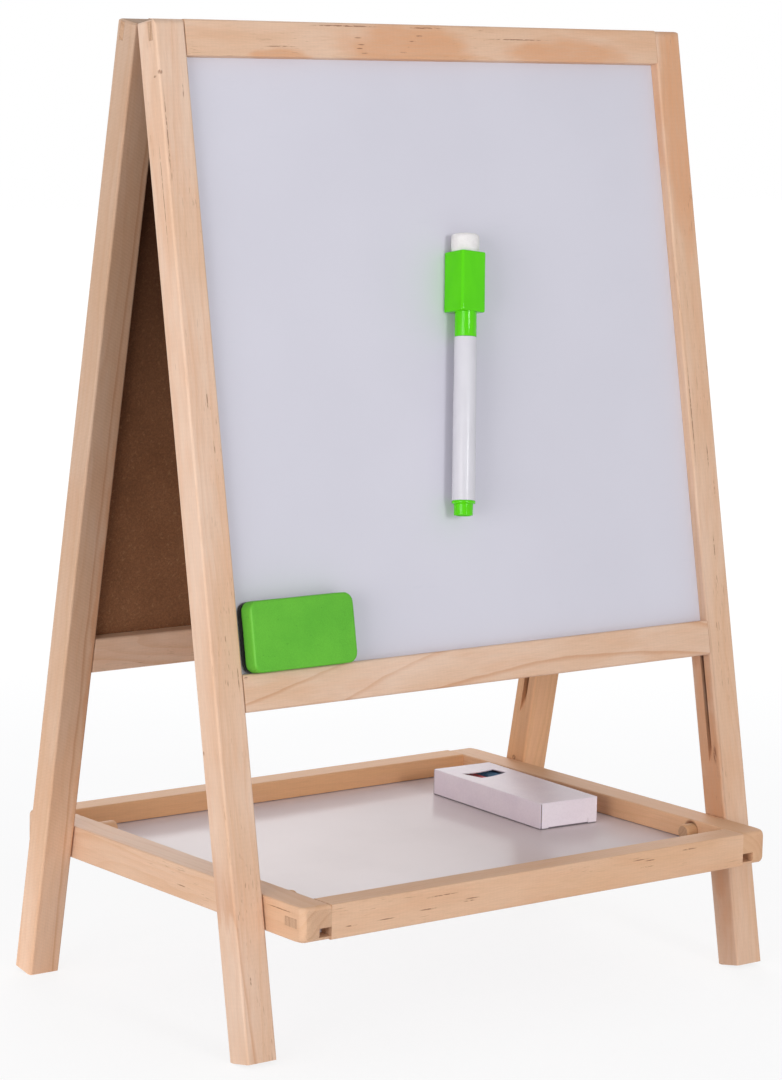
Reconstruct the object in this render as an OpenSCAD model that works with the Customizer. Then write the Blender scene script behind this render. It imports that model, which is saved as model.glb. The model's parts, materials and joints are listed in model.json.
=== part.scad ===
/* [Frames] */
// Length of each leg along its inner face, top edge to floor
leg_length = 450; // [400:1:520]
// Overall width of both frames
frame_width = 303; // [260:1:360]
// Leg size across the face of the frame
leg_face = 15.5; // [13:0.5:22]
// Leg size from front to back
leg_depth = 14; // [13:0.5:20]
// Lean of each frame from upright, in degrees
frame_lean = 10.4; // [8:0.1:13]
// Gap between the inner faces of the two frames when folded
fold_gap = 1.2; // [1:0.1:2]
// Drop of the hinge pins below the top edges
hinge_drop = 1.4; // [1.2:0.1:2.5]
// Height of the top rails
top_rail_h = 16; // [15:0.5:24]
// Height of the bottom rails
bottom_rail_h = 16.5; // [14:0.5:24]
// Distance from the top of a leg down to its bottom rail
rail_drop = 284; // [240:1:320]
// Radius on the long edges of legs and frame rails
edge_r = 1.1; // [0.6:0.1:1.8]
// Radius on the outer top corners of the legs
leg_top_r = 3; // [2:0.5:5]
// Width of the flat that each foot stands on
foot_flat = 2.6; // [1.5:0.1:4]

/* [Boards] */
// Distance from the leg's front face back to the whiteboard
white_inset = 5; // [3.5:0.1:6.5]
// Thickness of the whiteboard's hardboard backing
white_backing_th = 2; // [1.5:0.1:3]
// Thickness of the whiteboard's enamelled steel sheet
white_sheet_th = 0.4; // [0.3:0.1:0.8]
// Distance from the rear face of the leg in to the chalkboard
chalk_inset = 5.4; // [3.5:0.1:6]
// Thickness of the chalkboard's hardboard backing
chalk_backing_th = 2.9; // [2:0.1:3.5]
// Thickness of the chalkboard's painted facing
chalk_sheet_th = 0.4; // [0.3:0.1:0.8]
// Depth of the grooves that hold the boards
groove_d = 6; // [4:0.5:7]
// Space between a board's edge and the bottom of its groove
groove_end_gap = 0.5; // [0.3:0.1:1.2]
// Play on each side of a board in its groove
board_play = 0.1; // [0.05:0.05:0.25]
// Straight groove left below the bottom rail
groove_overrun = 18; // [5:1:30]
// Radius of the saw that cut the grooves
saw_r = 100; // [60:5:130]

/* [Frame joints] */
// Thickness of the through tenons
tenon_th = 3; // [2.5:0.5:5]
// Height of the through tenons
tenon_h = 8; // [5:0.5:8.5]
// Distance from a leg's outer face to the through tenon
tenon_inset = 2.5; // [2:0.5:3.5]
// Wood left above the through tenon
tenon_cover = 1.1; // [1:0.1:1.5]
// Play around each tenon in its mortise
tenon_play = 0.1; // [0.05:0.05:0.2]

/* [Hinges] */
// Distance from the middle of the frame to each hinge
hinge_offset = 85; // [60:1:100]
// Width of each hinge
hinge_w = 20; // [16:1:26]
// Length of the hinge leaves below the pin
leaf_h = 9; // [8:0.5:10]
// Thickness of the hinge leaves
leaf_th = 0.8; // [0.6:0.1:1]
// Space between the leaves when folded
leaf_gap = 0.4; // [0.2:0.1:0.6]
// Outer radius of the hinge knuckles
knuckle_r = 1.3; // [1.2:0.1:1.6]
// Radius of the hinge pins
hinge_pin_r = 0.6; // [0.5:0.1:0.7]
// Running clearance around the hinge pins
hinge_pin_play = 0.05; // [0.03:0.01:0.1]
// Clearance of the knuckles from wood and from each other
knuckle_play = 0.2; // [0.1:0.05:0.3]
// Distance between the two screws of a leaf
screw_pitch = 12; // [9:0.5:16]
// Distance of the screws below the pin
screw_drop = 5.5; // [5:0.1:6.5]
// Shank radius of the hinge screws
screw_r = 0.8; // [0.6:0.1:1]
// Head radius of the hinge screws
screw_head_r = 1.6; // [1.4:0.1:1.8]
// Length of the hinge screws
screw_len = 8; // [6:0.5:10]

/* [Tray] */
// Height of the tray's top edge above the floor
tray_top = 72; // [60:1:90]
// Height of the tray's rails
tray_rail_h = 15.5; // [15:0.5:20]
// Width of the tray's side rails
tray_side_w = 15; // [14:0.5:20]
// Width of the tray's front and rear rails
tray_cross_w = 13.5; // [12:0.5:18]
// Length of the tray's side rails, front to rear
tray_depth = 224; // [212:1:240]
// Gap between the tray and the legs beside it
tray_gap = 0.5; // [0.3:0.1:1]
// Thickness of the tray's bottom panel
tray_panel_th = 3.7; // [3:0.1:4]
// Wood left below the tray's panel groove
tray_lip = 1.8; // [1.5:0.1:3]
// Depth of the tray's panel groove
tray_groove_d = 6.5; // [4:0.5:7]
// Gap above the tray's panel in its groove
tray_groove_gap = 0.4; // [0.2:0.1:0.6]
// Thickness of the tenons on the tray's cross rails
tray_tenon_th = 4; // [3:0.5:4.5]
// Width of the tenons on the tray's cross rails
tray_tenon_w = 8.5; // [6:0.5:10]
// Radius on the outer corners of the side rails, seen from above
tray_corner_r = 4; // [2:0.5:6]
// Radius on the ends of the side rails, seen from the side
tray_end_r = 3; // [2:0.5:5]
// Radius on the long edges of the tray's rails
tray_edge_r = 0.8; // [0.5:0.1:1.2]

/* [Pegs] */
// Diameter of the pegs that carry the tray
peg_d = 7.8; // [6:0.2:8]
// Distance from the tray's top edge down to the peg's centre
peg_drop = 5.6; // [5:0.1:6]
// Play around a peg in the tray's rail
peg_rail_play = 0.3; // [0.1:0.05:0.4]
// Play around a peg in the leg
peg_leg_play = 0.05; // [0.03:0.01:0.1]
// Depth that a peg enters the leg
peg_embed = 5.5; // [4:0.5:9]
// Length of peg left standing inside the tray
peg_grip = 6; // [4:0.5:8]
// Space past the end of a peg in the leg's hole
peg_end_gap = 0.3; // [0.2:0.1:1]
// Gap between a drawn back rear peg and the leg
peg_clear = 0.3; // [0.2:0.1:1]
// Bevel on the ends of the pegs
peg_bevel = 0.5; // [0.3:0.1:1]

/* [Marker] */
// Distance of the marker's foot right of the middle of the board
marker_x = -9.7; // [-100:0.1:80]
// Distance of the marker's foot below the top of the frame
marker_s = 223.9; // [180:0.1:260]
// Tilt of the marker on the board, in degrees
marker_tilt = 7.4; // [-15:0.1:15]
// Outer diameter of the barrel at its foot
barrel_d = 10.8; // [10:0.1:12]
// Outer diameter of the barrel at its collar
barrel_top_d = 10.2; // [9.8:0.1:11]
// Length of the barrel
barrel_len = 74.7; // [60:0.1:90]
// Wall of the barrel
barrel_wall = 1; // [0.8:0.1:1.2]
// Width of the cap block along the board
cap_side = 13.8; // [12:0.1:15]
// Depth of the cap block, out from the board
cap_depth = 14; // [12:0.1:16]
// Distance of the marker's axis from the board's side of the cap block
cap_back = 8; // [6:0.1:9.2]
// Length of the cap block
cap_block_len = 27.5; // [22:0.5:32]
// Outer diameter of the cap's round collar
cap_collar_d = 10; // [9.8:0.1:10.2]
// Length of the cap's round collar
cap_collar_len = 11.4; // [9:0.1:14]
// Bore of the cap
cap_bore_d = 8.2; // [8:0.1:8.4]
// Diameter of the felt pad on the cap
pad_d = 12.4; // [9:0.1:12.6]
// Length of felt pad that shows
pad_len = 8.5; // [5:0.5:10]
// Diameter of the end plug's tip
plug_d = 8.8; // [7:0.1:9.6]
// Length of the end plug's tip
plug_len = 5.4; // [4:0.1:8]

/* [Eraser] */
// Width of the eraser
eraser_w = 55.5; // [45:0.5:70]
// Height of the eraser on the board
eraser_h = 31.2; // [26:0.1:36]
// Thickness of the eraser's foam body
eraser_body_th = 7.7; // [6:0.1:12]
// Thickness of the eraser's felt
eraser_felt_th = 2.8; // [2:0.1:4]
// Radius on the corners of the eraser
eraser_r = 4.5; // [3:0.5:7]
// Gap between the eraser and the left leg
eraser_leg_gap = 3.1; // [1:0.1:40]

/* [Chalk] */
// Length of the chalk carton
carton_len = 90; // [88:0.5:100]
// Width of the chalk carton
carton_w = 34.5; // [34:0.5:36]
// Height of the chalk carton
carton_h = 13; // [12.5:0.1:14]
// Board thickness of the chalk carton
carton_wall = 0.5; // [0.4:0.1:0.6]
// Gap between the carton and the tray's right rail
carton_side_gap = 11.75; // [3:0.25:180]
// Gap between the carton and the tray's rear rail
carton_rear_gap = 31.5; // [3:0.5:90]
// Turn of the carton on the tray, in degrees
carton_turn = -3.2; // [-6:0.1:6]
// Diameter of the chalk sticks
chalk_d = 10.6; // [9:0.1:10.8]
// Length of the chalk sticks
chalk_len = 80; // [70:0.5:81]

/* [Hidden] */
$fn = 48;
// Small overrun that lets a cut pass through a face
past = 1;
// Gap left where one loose piece rests on another
seat_gap = 0.05;
// Play around small pieces that are pressed or glued into their pockets
pocket_play = 0.05;
// Play around the hinge screws in the wood, and in the leaves
screw_play = 0.05;
screw_leaf_play = 0.02;

// Frames: the leaning space has its origin on the hinge pin, X to the right, -Y outward, Z up the leg
half_gap = fold_gap / 2;
leg_below_pin = leg_length - hinge_drop;
pin_z = leg_below_pin * cos(frame_lean) - half_gap * sin(frame_lean);
half_w = frame_width / 2;
inner_x = half_w - leg_face;
leg_end = leg_below_pin + foot_flat * sin(frame_lean);
rail_top_z = hinge_drop - rail_drop;
rail_bottom_z = rail_top_z - bottom_rail_h;
top_rail_bottom_z = hinge_drop - top_rail_h;
outer_y = -half_gap - leg_depth;
// Boards
white_face_y = outer_y + white_inset;
white_th = white_backing_th + white_sheet_th;
chalk_face_y = outer_y + chalk_inset;
chalk_th = chalk_backing_th + chalk_sheet_th;
board_bite = groove_d - groove_end_gap;
board_half_w = inner_x + board_bite;
board_top_z = top_rail_bottom_z + board_bite;
board_bottom_z = rail_top_z - board_bite;
groove_end_z = rail_bottom_z - groove_overrun;
// Through tenons
tenon_y = outer_y + tenon_inset;
tenon_z = hinge_drop - tenon_cover - tenon_h;
// Hinges
leaf_y = -leaf_gap / 2 - leaf_th;
hinge_bore_r = hinge_pin_r + hinge_pin_play;
knuckle_w = hinge_w / 3;
screw_slot_len = 4.2;
screw_slot_w = 0.4;
screw_slot_d = 0.3;
// Tray
tray_half_w = inner_x - tray_gap;
tray_inner_x = tray_half_w - tray_side_w;
tray_half_d = tray_depth / 2;
tray_inner_y = tray_half_d - tray_cross_w;
tray_bottom = tray_top - tray_rail_h;
tray_groove_z = tray_bottom + tray_lip;
tray_groove_h = tray_panel_th + tray_groove_gap;
tray_floor = tray_groove_z + tray_panel_th;
tray_tenon_z = tray_groove_z + tray_groove_h;
// Pegs: they meet the legs on the legs' centre lines
peg_z = tray_top - peg_drop;
peg_r = peg_d / 2;
peg_y = (pin_z - peg_z) * tan(frame_lean) + (half_gap + leg_depth / 2) / cos(frame_lean);
peg_len = peg_embed + tray_gap + tray_side_w + peg_grip;
peg_home_x = inner_x + peg_embed;
peg_back_x = inner_x - peg_clear;
// Marker, along its own length from its foot
plug_flange_h = 1.4;
plug_flange_d = barrel_d;
plug_bevel = 0.5;
plug_stem_len = 4;
barrel_z = plug_len + plug_flange_h;
collar_z = barrel_z + barrel_len;
block_z = collar_z + cap_collar_len;
block_end = block_z + cap_block_len;
barrel_bore_d = barrel_top_d - 2 * barrel_wall;
barrel_end_wall = 2;
neck_bore_d = cap_bore_d - 1.6;
holder_stem_len = 3;
holder_play = 0.15;
holder_len = 9;
holder_tip_d = 6;
nib_d = 3.8;
nib_tip_d = 1.2;
nib_show = 2.5;
nib_tip_len = 2.5;
ink_play = 0.3;
ink_end_gap = 5;
cap_bore_past = 16;
cap_bore_len = cap_collar_len + cap_bore_past;
cap_edge_r = 1.2;
pad_socket = 3;
marker_axis_y = cap_back + seat_gap;
cap_mid_y = cap_back - cap_depth / 2;
magnet_d = 8;
magnet_th = 1.6;
magnet_up = 17;
// Eraser
eraser_x = -inner_x + eraser_leg_gap + eraser_w / 2;
eraser_z = rail_top_z + seat_gap + eraser_h / 2;
eraser_magnet_w = 38;
eraser_magnet_h = 10;
eraser_magnet_th = 1.5;
felt_inset = 0.3;
// Carton
carton_x = tray_inner_x - carton_side_gap - carton_w / 2;
carton_y = tray_inner_y - carton_rear_gap - carton_len / 2;
carton_z = tray_floor + seat_gap;
window_len = 10;
window_w = 20;
window_y = 23;
window_bow = 1.6;
flap_lift = 0.2;
tuck_len = 3.4;
tuck_lift = 0.8;
tuck_th = 0.3;
tuck_side_gap = 0.3;
chalk_end_gap = 0.5;
chalk_taper = 1;
chalk_pitch = (carton_w - 2 * carton_wall) / 3;

// A bar's section, centred in X and Y, with four round edges
module bar_section(w, h, r) {
    square([w - 2 * r, h], center = true);
    square([w, h - 2 * r], center = true);
    for (sx = [-1, 1], sy = [-1, 1])
        translate([sx * (w / 2 - r), sy * (h / 2 - r)])
            circle(r);
}

// A bar along X between two ends, with round long edges
module bar_x(x0, x1, y0, y1, z0, z1, r) {
    translate([x0, (y0 + y1) / 2, (z0 + z1) / 2])
        rotate([90, 0, 90])
            linear_extrude(x1 - x0)
                bar_section(y1 - y0, z1 - z0, r);
}

// A box between two corners
module box(x0, x1, y0, y1, z0, z1) {
    translate([x0, y0, z0])
        cube([x1 - x0, y1 - y0, z1 - z0]);
}

// What is left of a square corner outside a round of radius r, along Z
module corner_waste(r, h) {
    difference() {
        translate([0, 0, -past])
            cube([r + past, r + past, h + 2 * past]);
        translate([0, 0, -2 * past])
            cylinder(r = r, h = h + 4 * past);
    }
}

// Puts the front frame's leaning space in place
module front_pose() {
    translate([0, 0, pin_z])
        rotate([-frame_lean, 0, 0])
            children();
}

// Puts the rear frame's leaning space in place
module rear_pose() {
    mirror([0, 1, 0])
        front_pose()
            children();
}

// Tapered end of a board groove, as the round saw leaves it
module saw_runout(side, face_y, board_th) {
    slot = board_th + 2 * board_play;
    translate([side * (inner_x + groove_d - saw_r), face_y - board_play, groove_end_z])
        rotate([-90, 0, 0])
            cylinder(r = saw_r, h = slot, $fn = 96);
}

// One leg in the leaning space; side is -1 on the left and 1 on the right
module leg(side, face_y, board_th) {
    mid_x = side * (half_w - leg_face / 2);
    groove_x0 = side < 0 ? -inner_x - groove_d : inner_x - past;
    groove_x1 = side < 0 ? -inner_x + past : inner_x + groove_d;
    difference() {
        translate([mid_x, outer_y + leg_depth / 2, -leg_end])
            linear_extrude(leg_end + hinge_drop)
                bar_section(leg_face, leg_depth, edge_r);
        translate([mid_x - leg_face, outer_y + leg_top_r, hinge_drop - leg_top_r])
            rotate([90, 0, 90])
                mirror([1, 0, 0])
                    corner_waste(leg_top_r, 2 * leg_face);
        translate([side * (half_w - leg_top_r / 2), outer_y - past, hinge_drop - leg_top_r / 2])
            rotate([-90, 0, 0])
                mirror([side < 0 ? 1 : 0, 0, 0])
                    mirror([0, 1, 0])
                        corner_waste(leg_top_r / 2, leg_depth + 2 * past);
        box(groove_x0, groove_x1, face_y - board_play, face_y + board_th + board_play,
            groove_end_z, board_top_z + groove_end_gap);
        saw_runout(side, face_y, board_th);
        box(-half_w - past, half_w + past, tenon_y - tenon_play, tenon_y + tenon_th + tenon_play,
            tenon_z - tenon_play, tenon_z + tenon_h + tenon_play);
    }
}

// Everything under the surface that the easel stands on
module floor_waste() {
    translate([-frame_width, -leg_length, -leg_length])
        cube([2 * frame_width, 2 * leg_length, leg_length]);
}

// Blind hole that takes a peg in a leg, in front for dir -1 and behind for dir 1
module leg_peg_hole(side, dir) {
    depth = peg_embed + peg_end_gap;
    translate([side * (inner_x - past), dir * peg_y, peg_z])
        rotate([0, side * 90, 0])
            cylinder(r = peg_r + peg_leg_play, h = depth + past);
}

module front_leg(side) {
    color("burlywood")
        difference() {
            front_pose()
                leg(side, white_face_y, white_th);
            floor_waste();
            leg_peg_hole(side, -1);
        }
}

module rear_leg(side) {
    color("burlywood")
        difference() {
            rear_pose()
                leg(side, chalk_face_y, chalk_th);
            floor_waste();
            leg_peg_hole(side, 1);
        }
}

// Mortises for the hinges in the inner face of a top rail
module hinge_mortises() {
    for (sx = [-1, 1])
        translate([sx * hinge_offset, 0, 0]) {
            cut_w = hinge_w + 2 * knuckle_play;
            box(-cut_w / 2, cut_w / 2, leaf_y, past, -leaf_h - knuckle_play, 0);
            translate([-cut_w / 2, 0, 0])
                rotate([0, 90, 0])
                    cylinder(r = knuckle_r + knuckle_play, h = cut_w);
            hinge_screw_places()
                screw_body(screw_play);
        }
}

// The places of a leaf's two screws, with +Z pointing into the wood
module hinge_screw_places() {
    for (sx = [-1, 1])
        translate([sx * screw_pitch / 2, leaf_y + leaf_th, -screw_drop])
            rotate([90, 0, 0])
                children();
}

// A countersunk screw whose head is flush at Z = 0
module screw_body(play) {
    head_h = leaf_th;
    cylinder(r1 = screw_head_r + play, r2 = screw_r + play, h = head_h);
    cylinder(r = screw_r + play, h = screw_len + 2 * play);
}

// A top rail in the leaning space
module top_rail(face_y, board_th) {
    difference() {
        union() {
            bar_x(-inner_x, inner_x, outer_y, outer_y + leg_depth, top_rail_bottom_z, hinge_drop, edge_r);
            box(-half_w, half_w, tenon_y, tenon_y + tenon_th, tenon_z, tenon_z + tenon_h);
        }
        box(-inner_x - past, inner_x + past, face_y - board_play, face_y + board_th + board_play,
            top_rail_bottom_z - past, top_rail_bottom_z + groove_d);
        hinge_mortises();
    }
}

// A bottom rail in the leaning space, with stub tenons in the legs' grooves
module bottom_rail(face_y, board_th) {
    stub_x = inner_x + board_bite;
    difference() {
        union() {
            bar_x(-inner_x, inner_x, outer_y, outer_y + leg_depth, rail_bottom_z, rail_top_z, edge_r);
            box(-stub_x, stub_x, face_y, face_y + board_th, rail_bottom_z + edge_r, board_bottom_z - groove_end_gap);
        }
        box(-inner_x - past, inner_x + past, face_y - board_play, face_y + board_th + board_play,
            board_bottom_z - groove_end_gap, rail_top_z + past);
    }
}

module front_top_rail() {
    color("burlywood")
        front_pose()
            top_rail(white_face_y, white_th);
}

module rear_top_rail() {
    color("burlywood")
        rear_pose()
            top_rail(chalk_face_y, chalk_th);
}

module front_bottom_rail() {
    color("burlywood")
        front_pose()
            bottom_rail(white_face_y, white_th);
}

module rear_bottom_rail() {
    color("burlywood")
        rear_pose()
            bottom_rail(chalk_face_y, chalk_th);
}

// A board layer in the leaning space, from its outer face inward
module board_layer(face_y, th) {
    box(-board_half_w, board_half_w, face_y, face_y + th, board_bottom_z, board_top_z);
}

module whiteboard_sheet() {
    color("whitesmoke")
        front_pose()
            board_layer(white_face_y, white_sheet_th);
}

module whiteboard_backing() {
    color("saddlebrown")
        front_pose()
            board_layer(white_face_y + white_sheet_th, white_backing_th);
}

module chalkboard_sheet() {
    color("darkslategray")
        rear_pose()
            board_layer(chalk_face_y, chalk_sheet_th);
}

module chalkboard_backing() {
    color("saddlebrown")
        rear_pose()
            board_layer(chalk_face_y + chalk_sheet_th, chalk_backing_th);
}

// The knuckles of one leaf: the outer two, or the middle one
module knuckles(outer) {
    spans = outer ? [[-hinge_w / 2, -knuckle_w / 2], [knuckle_w / 2, hinge_w / 2]]
                  : [[-knuckle_w / 2 + knuckle_play, knuckle_w / 2 - knuckle_play]];
    for (span = spans)
        translate([span[0], 0, 0])
            rotate([0, 90, 0])
                cylinder(r = knuckle_r, h = span[1] - span[0]);
}

// Room for the knuckles of the opposite leaf
module knuckle_room(outer) {
    spans = outer ? [[-hinge_w, -knuckle_w / 2 + knuckle_play], [knuckle_w / 2 - knuckle_play, hinge_w]]
                  : [[-knuckle_w / 2, knuckle_w / 2]];
    for (span = spans)
        translate([span[0], 0, 0])
            rotate([0, 90, 0])
                cylinder(r = knuckle_r + knuckle_play, h = span[1] - span[0]);
}

// Both hinges' leaves on one frame, in the leaning space
module hinge_leaves(outer) {
    for (sx = [-1, 1])
        translate([sx * hinge_offset, 0, 0])
            difference() {
                union() {
                    box(-hinge_w / 2, hinge_w / 2, leaf_y, leaf_y + leaf_th, -leaf_h, 0);
                    knuckles(outer);
                }
                knuckle_room(!outer);
                translate([-hinge_w, 0, 0])
                    rotate([0, 90, 0])
                        cylinder(r = hinge_bore_r, h = 2 * hinge_w);
                hinge_screw_places()
                    screw_body(screw_leaf_play);
            }
}

// Both hinges' screws on one frame, in the leaning space
module hinge_screws() {
    for (sx = [-1, 1])
        translate([sx * hinge_offset, 0, 0])
            hinge_screw_places()
                difference() {
                    screw_body(0);
                    for (turn = [0, 90])
                        rotate([0, 0, turn])
                            cube([screw_slot_len / 2, screw_slot_w, 2 * screw_slot_d], center = true);
                }
}

module front_hinge_leaves() {
    color("silver")
        front_pose()
            hinge_leaves(true);
}

module rear_hinge_leaves() {
    color("silver")
        rear_pose()
            hinge_leaves(false);
}

module front_hinge_screws() {
    color("silver")
        front_pose()
            hinge_screws();
}

module rear_hinge_screws() {
    color("silver")
        rear_pose()
            hinge_screws();
}

module hinge_pins() {
    color("gray")
        for (sx = [-1, 1])
            translate([sx * hinge_offset - hinge_w / 2, 0, pin_z])
                rotate([0, 90, 0])
                    cylinder(r = hinge_pin_r, h = hinge_w);
}

// One side rail of the tray; side is -1 on the left and 1 on the right
module tray_side_rail(side) {
    groove_x0 = side < 0 ? -tray_inner_x - tray_groove_d : tray_inner_x - past;
    groove_x1 = side < 0 ? -tray_inner_x + past : tray_inner_x + tray_groove_d;
    mid_x = side * (tray_inner_x + tray_side_w / 2);
    color("burlywood")
        difference() {
            translate([mid_x, tray_half_d, tray_bottom + tray_rail_h / 2])
                rotate([90, 0, 0])
                    linear_extrude(tray_depth)
                        bar_section(tray_side_w, tray_rail_h, tray_edge_r);
            for (end = [-1, 1]) {
                translate([side * (tray_half_w - tray_corner_r), end * (tray_half_d - tray_corner_r), tray_bottom])
                    mirror([side < 0 ? 1 : 0, 0, 0])
                        mirror([0, end < 0 ? 1 : 0, 0])
                            corner_waste(tray_corner_r, tray_rail_h);
                for (up = [0, 1])
                    translate([mid_x - tray_side_w, end * (tray_half_d - tray_end_r),
                               up == 1 ? tray_top - tray_end_r : tray_bottom + tray_end_r])
                        mirror([0, 0, 1 - up])
                            mirror([0, end < 0 ? 1 : 0, 0])
                                rotate([90, 0, 90])
                                    corner_waste(tray_end_r, 2 * tray_side_w);
            }
            box(groove_x0, groove_x1, -tray_half_d - past, tray_half_d + past,
                tray_groove_z, tray_groove_z + tray_groove_h);
            for (end = [-1, 1]) {
                mortise_y = end * (tray_inner_y + tray_tenon_w / 2);
                mortise_w = tray_tenon_w + 2 * tenon_play;
                box(mid_x - tray_side_w, mid_x + tray_side_w, mortise_y - mortise_w / 2, mortise_y + mortise_w / 2,
                    tray_tenon_z, tray_tenon_z + tray_tenon_th + tenon_play);
                translate([mid_x - tray_side_w, end * peg_y, peg_z])
                    rotate([0, 90, 0])
                        cylinder(r = peg_r + peg_rail_play, h = 2 * tray_side_w);
            }
        }
}

module tray_left_rail() {
    tray_side_rail(-1);
}

module tray_right_rail() {
    tray_side_rail(1);
}

// A cross rail of the tray, written for the rear
module tray_cross_rail() {
    difference() {
        union() {
            bar_x(-tray_inner_x, tray_inner_x, tray_inner_y, tray_half_d, tray_bottom, tray_top, tray_edge_r);
            box(-tray_half_w, tray_half_w, tray_inner_y, tray_inner_y + tray_tenon_w,
                tray_tenon_z, tray_tenon_z + tray_tenon_th);
        }
        box(-tray_inner_x - past, tray_inner_x + past, tray_inner_y - past, tray_inner_y + tray_groove_d,
            tray_groove_z, tray_groove_z + tray_groove_h);
    }
}

module tray_rear_rail() {
    color("burlywood")
        tray_cross_rail();
}

module tray_front_rail() {
    color("burlywood")
        mirror([0, 1, 0])
            tray_cross_rail();
}

module tray_panel() {
    bite = tray_groove_d - groove_end_gap;
    color("whitesmoke")
        box(-tray_inner_x - bite, tray_inner_x + bite, -tray_inner_y - bite, tray_inner_y + bite,
            tray_groove_z, tray_floor);
}

// A peg from its outer end inward; side is -1 on the left, dir is -1 in front
module peg(side, dir, outer_x) {
    color("burlywood")
        translate([side * outer_x, dir * peg_y, peg_z])
            rotate([0, -side * 90, 0]) {
                cylinder(r1 = peg_r - peg_bevel, r2 = peg_r, h = peg_bevel);
                translate([0, 0, peg_bevel])
                    cylinder(r = peg_r, h = peg_len - 2 * peg_bevel);
                translate([0, 0, peg_len - peg_bevel])
                    cylinder(r1 = peg_r, r2 = peg_r - peg_bevel, h = peg_bevel);
            }
}

module front_left_peg() {
    peg(-1, -1, peg_home_x);
}

module front_right_peg() {
    peg(1, -1, peg_home_x);
}

module rear_left_peg() {
    peg(-1, 1, peg_back_x);
}

module rear_right_peg() {
    peg(1, 1, peg_back_x);
}

// Puts the marker's own space on the board: Z runs from its foot to its cap, +Y faces the board
module marker_pose() {
    front_pose()
        translate([marker_x, white_face_y - marker_axis_y, hinge_drop - marker_s])
            rotate([0, marker_tilt, 0])
                children();
}

module marker_barrel() {
    color("white")
        marker_pose()
            translate([0, 0, barrel_z])
                difference() {
                    cylinder(d1 = barrel_d, d2 = barrel_top_d, h = barrel_len);
                    translate([0, 0, -past])
                        cylinder(d = barrel_bore_d, h = barrel_len - barrel_end_wall + past);
                    translate([0, 0, barrel_len - barrel_end_wall - past])
                        cylinder(d = neck_bore_d, h = barrel_end_wall + 2 * past);
                }
}

module marker_end_plug() {
    color("limegreen")
        marker_pose() {
            cylinder(d1 = plug_d - 2 * plug_bevel, d2 = plug_d, h = plug_bevel);
            translate([0, 0, plug_bevel])
                cylinder(d = plug_d, h = plug_len - plug_bevel);
            translate([0, 0, plug_len])
                cylinder(d = plug_flange_d, h = plug_flange_h);
            translate([0, 0, barrel_z])
                cylinder(d = barrel_bore_d - 2 * pocket_play, h = plug_stem_len);
        }
}

module marker_nib_holder() {
    color("white")
        marker_pose()
            translate([0, 0, collar_z]) {
                translate([0, 0, -holder_stem_len])
                    cylinder(d = neck_bore_d - 2 * pocket_play, h = holder_stem_len + pocket_play);
                difference() {
                    cylinder(d1 = cap_bore_d - 2 * holder_play, d2 = holder_tip_d, h = holder_len);
                    translate([0, 0, pocket_play])
                        cylinder(d = nib_d + 2 * pocket_play, h = holder_len);
                }
            }
}

module marker_nib() {
    nib_z = collar_z + 2 * pocket_play;
    color("dimgray")
        marker_pose() {
            translate([0, 0, nib_z])
                cylinder(d = nib_d, h = holder_len + nib_show);
            translate([0, 0, nib_z + holder_len + nib_show])
                cylinder(d1 = nib_d, d2 = nib_tip_d, h = nib_tip_len);
        }
}

module marker_ink_core() {
    color("dimgray")
        marker_pose()
            translate([0, 0, barrel_z + ink_end_gap])
                cylinder(d = barrel_bore_d - 2 * ink_play, h = barrel_len - 2 * ink_end_gap);
}

module marker_cap() {
    color("limegreen")
        marker_pose()
            difference() {
                union() {
                    translate([0, 0, collar_z + seat_gap])
                        cylinder(d = cap_collar_d, h = cap_collar_len);
                    translate([0, cap_mid_y, block_z])
                        linear_extrude(cap_block_len)
                            bar_section(cap_side, cap_depth, cap_edge_r);
                }
                translate([0, 0, collar_z - past])
                    cylinder(d = cap_bore_d, h = cap_bore_len + past);
                translate([0, cap_mid_y, block_end - pad_socket])
                    cylinder(d = pad_d + 2 * pocket_play, h = pad_socket + past);
                cap_magnet_body(pocket_play);
            }
}

// The cap's magnet, in a pocket in the face against the board
module cap_magnet_body(play) {
    translate([0, cap_back - magnet_th - play, block_z + magnet_up])
        rotate([-90, 0, 0])
            cylinder(d = magnet_d + 2 * play, h = magnet_th + 2 * play);
}

module marker_cap_magnet() {
    color("dimgray")
        marker_pose()
            cap_magnet_body(0);
}

module marker_felt_pad() {
    color("white")
        marker_pose()
            translate([0, cap_mid_y, block_end - pad_socket])
                cylinder(d = pad_d, h = pad_socket + pad_len);
}

// Puts the eraser's own space on the board: the board is at Y = 0 and the eraser at -Y
module eraser_pose() {
    front_pose()
        translate([eraser_x, white_face_y - seat_gap, eraser_z])
            children();
}

// A slab with round corners that lies against the board
module eraser_slab(w, h, r, y0, y1) {
    translate([0, y1, 0])
        rotate([90, 0, 0])
            linear_extrude(y1 - y0)
                bar_section(w, h, r);
}

// The eraser's magnet strip, in a pocket in the foam against the felt
module eraser_magnet_body(play) {
    box(-eraser_magnet_w / 2 - play, eraser_magnet_w / 2 + play, -eraser_felt_th - eraser_magnet_th - play,
        -eraser_felt_th, -eraser_magnet_h / 2 - play, eraser_magnet_h / 2 + play);
}

module eraser_felt() {
    color("black")
        eraser_pose()
            eraser_slab(eraser_w - 2 * felt_inset, eraser_h - felt_inset, eraser_r, -eraser_felt_th, 0);
}

module eraser_body() {
    color("limegreen")
        eraser_pose()
            difference() {
                eraser_slab(eraser_w, eraser_h, eraser_r, -eraser_felt_th - eraser_body_th, -eraser_felt_th);
                eraser_magnet_body(pocket_play);
            }
}

module eraser_magnet() {
    color("dimgray")
        eraser_pose()
            eraser_magnet_body(0);
}

// Puts the carton's own space on the tray: its near end is at -Y
module carton_pose() {
    translate([carton_x, carton_y, carton_z])
        rotate([0, 0, carton_turn])
            children();
}

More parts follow.
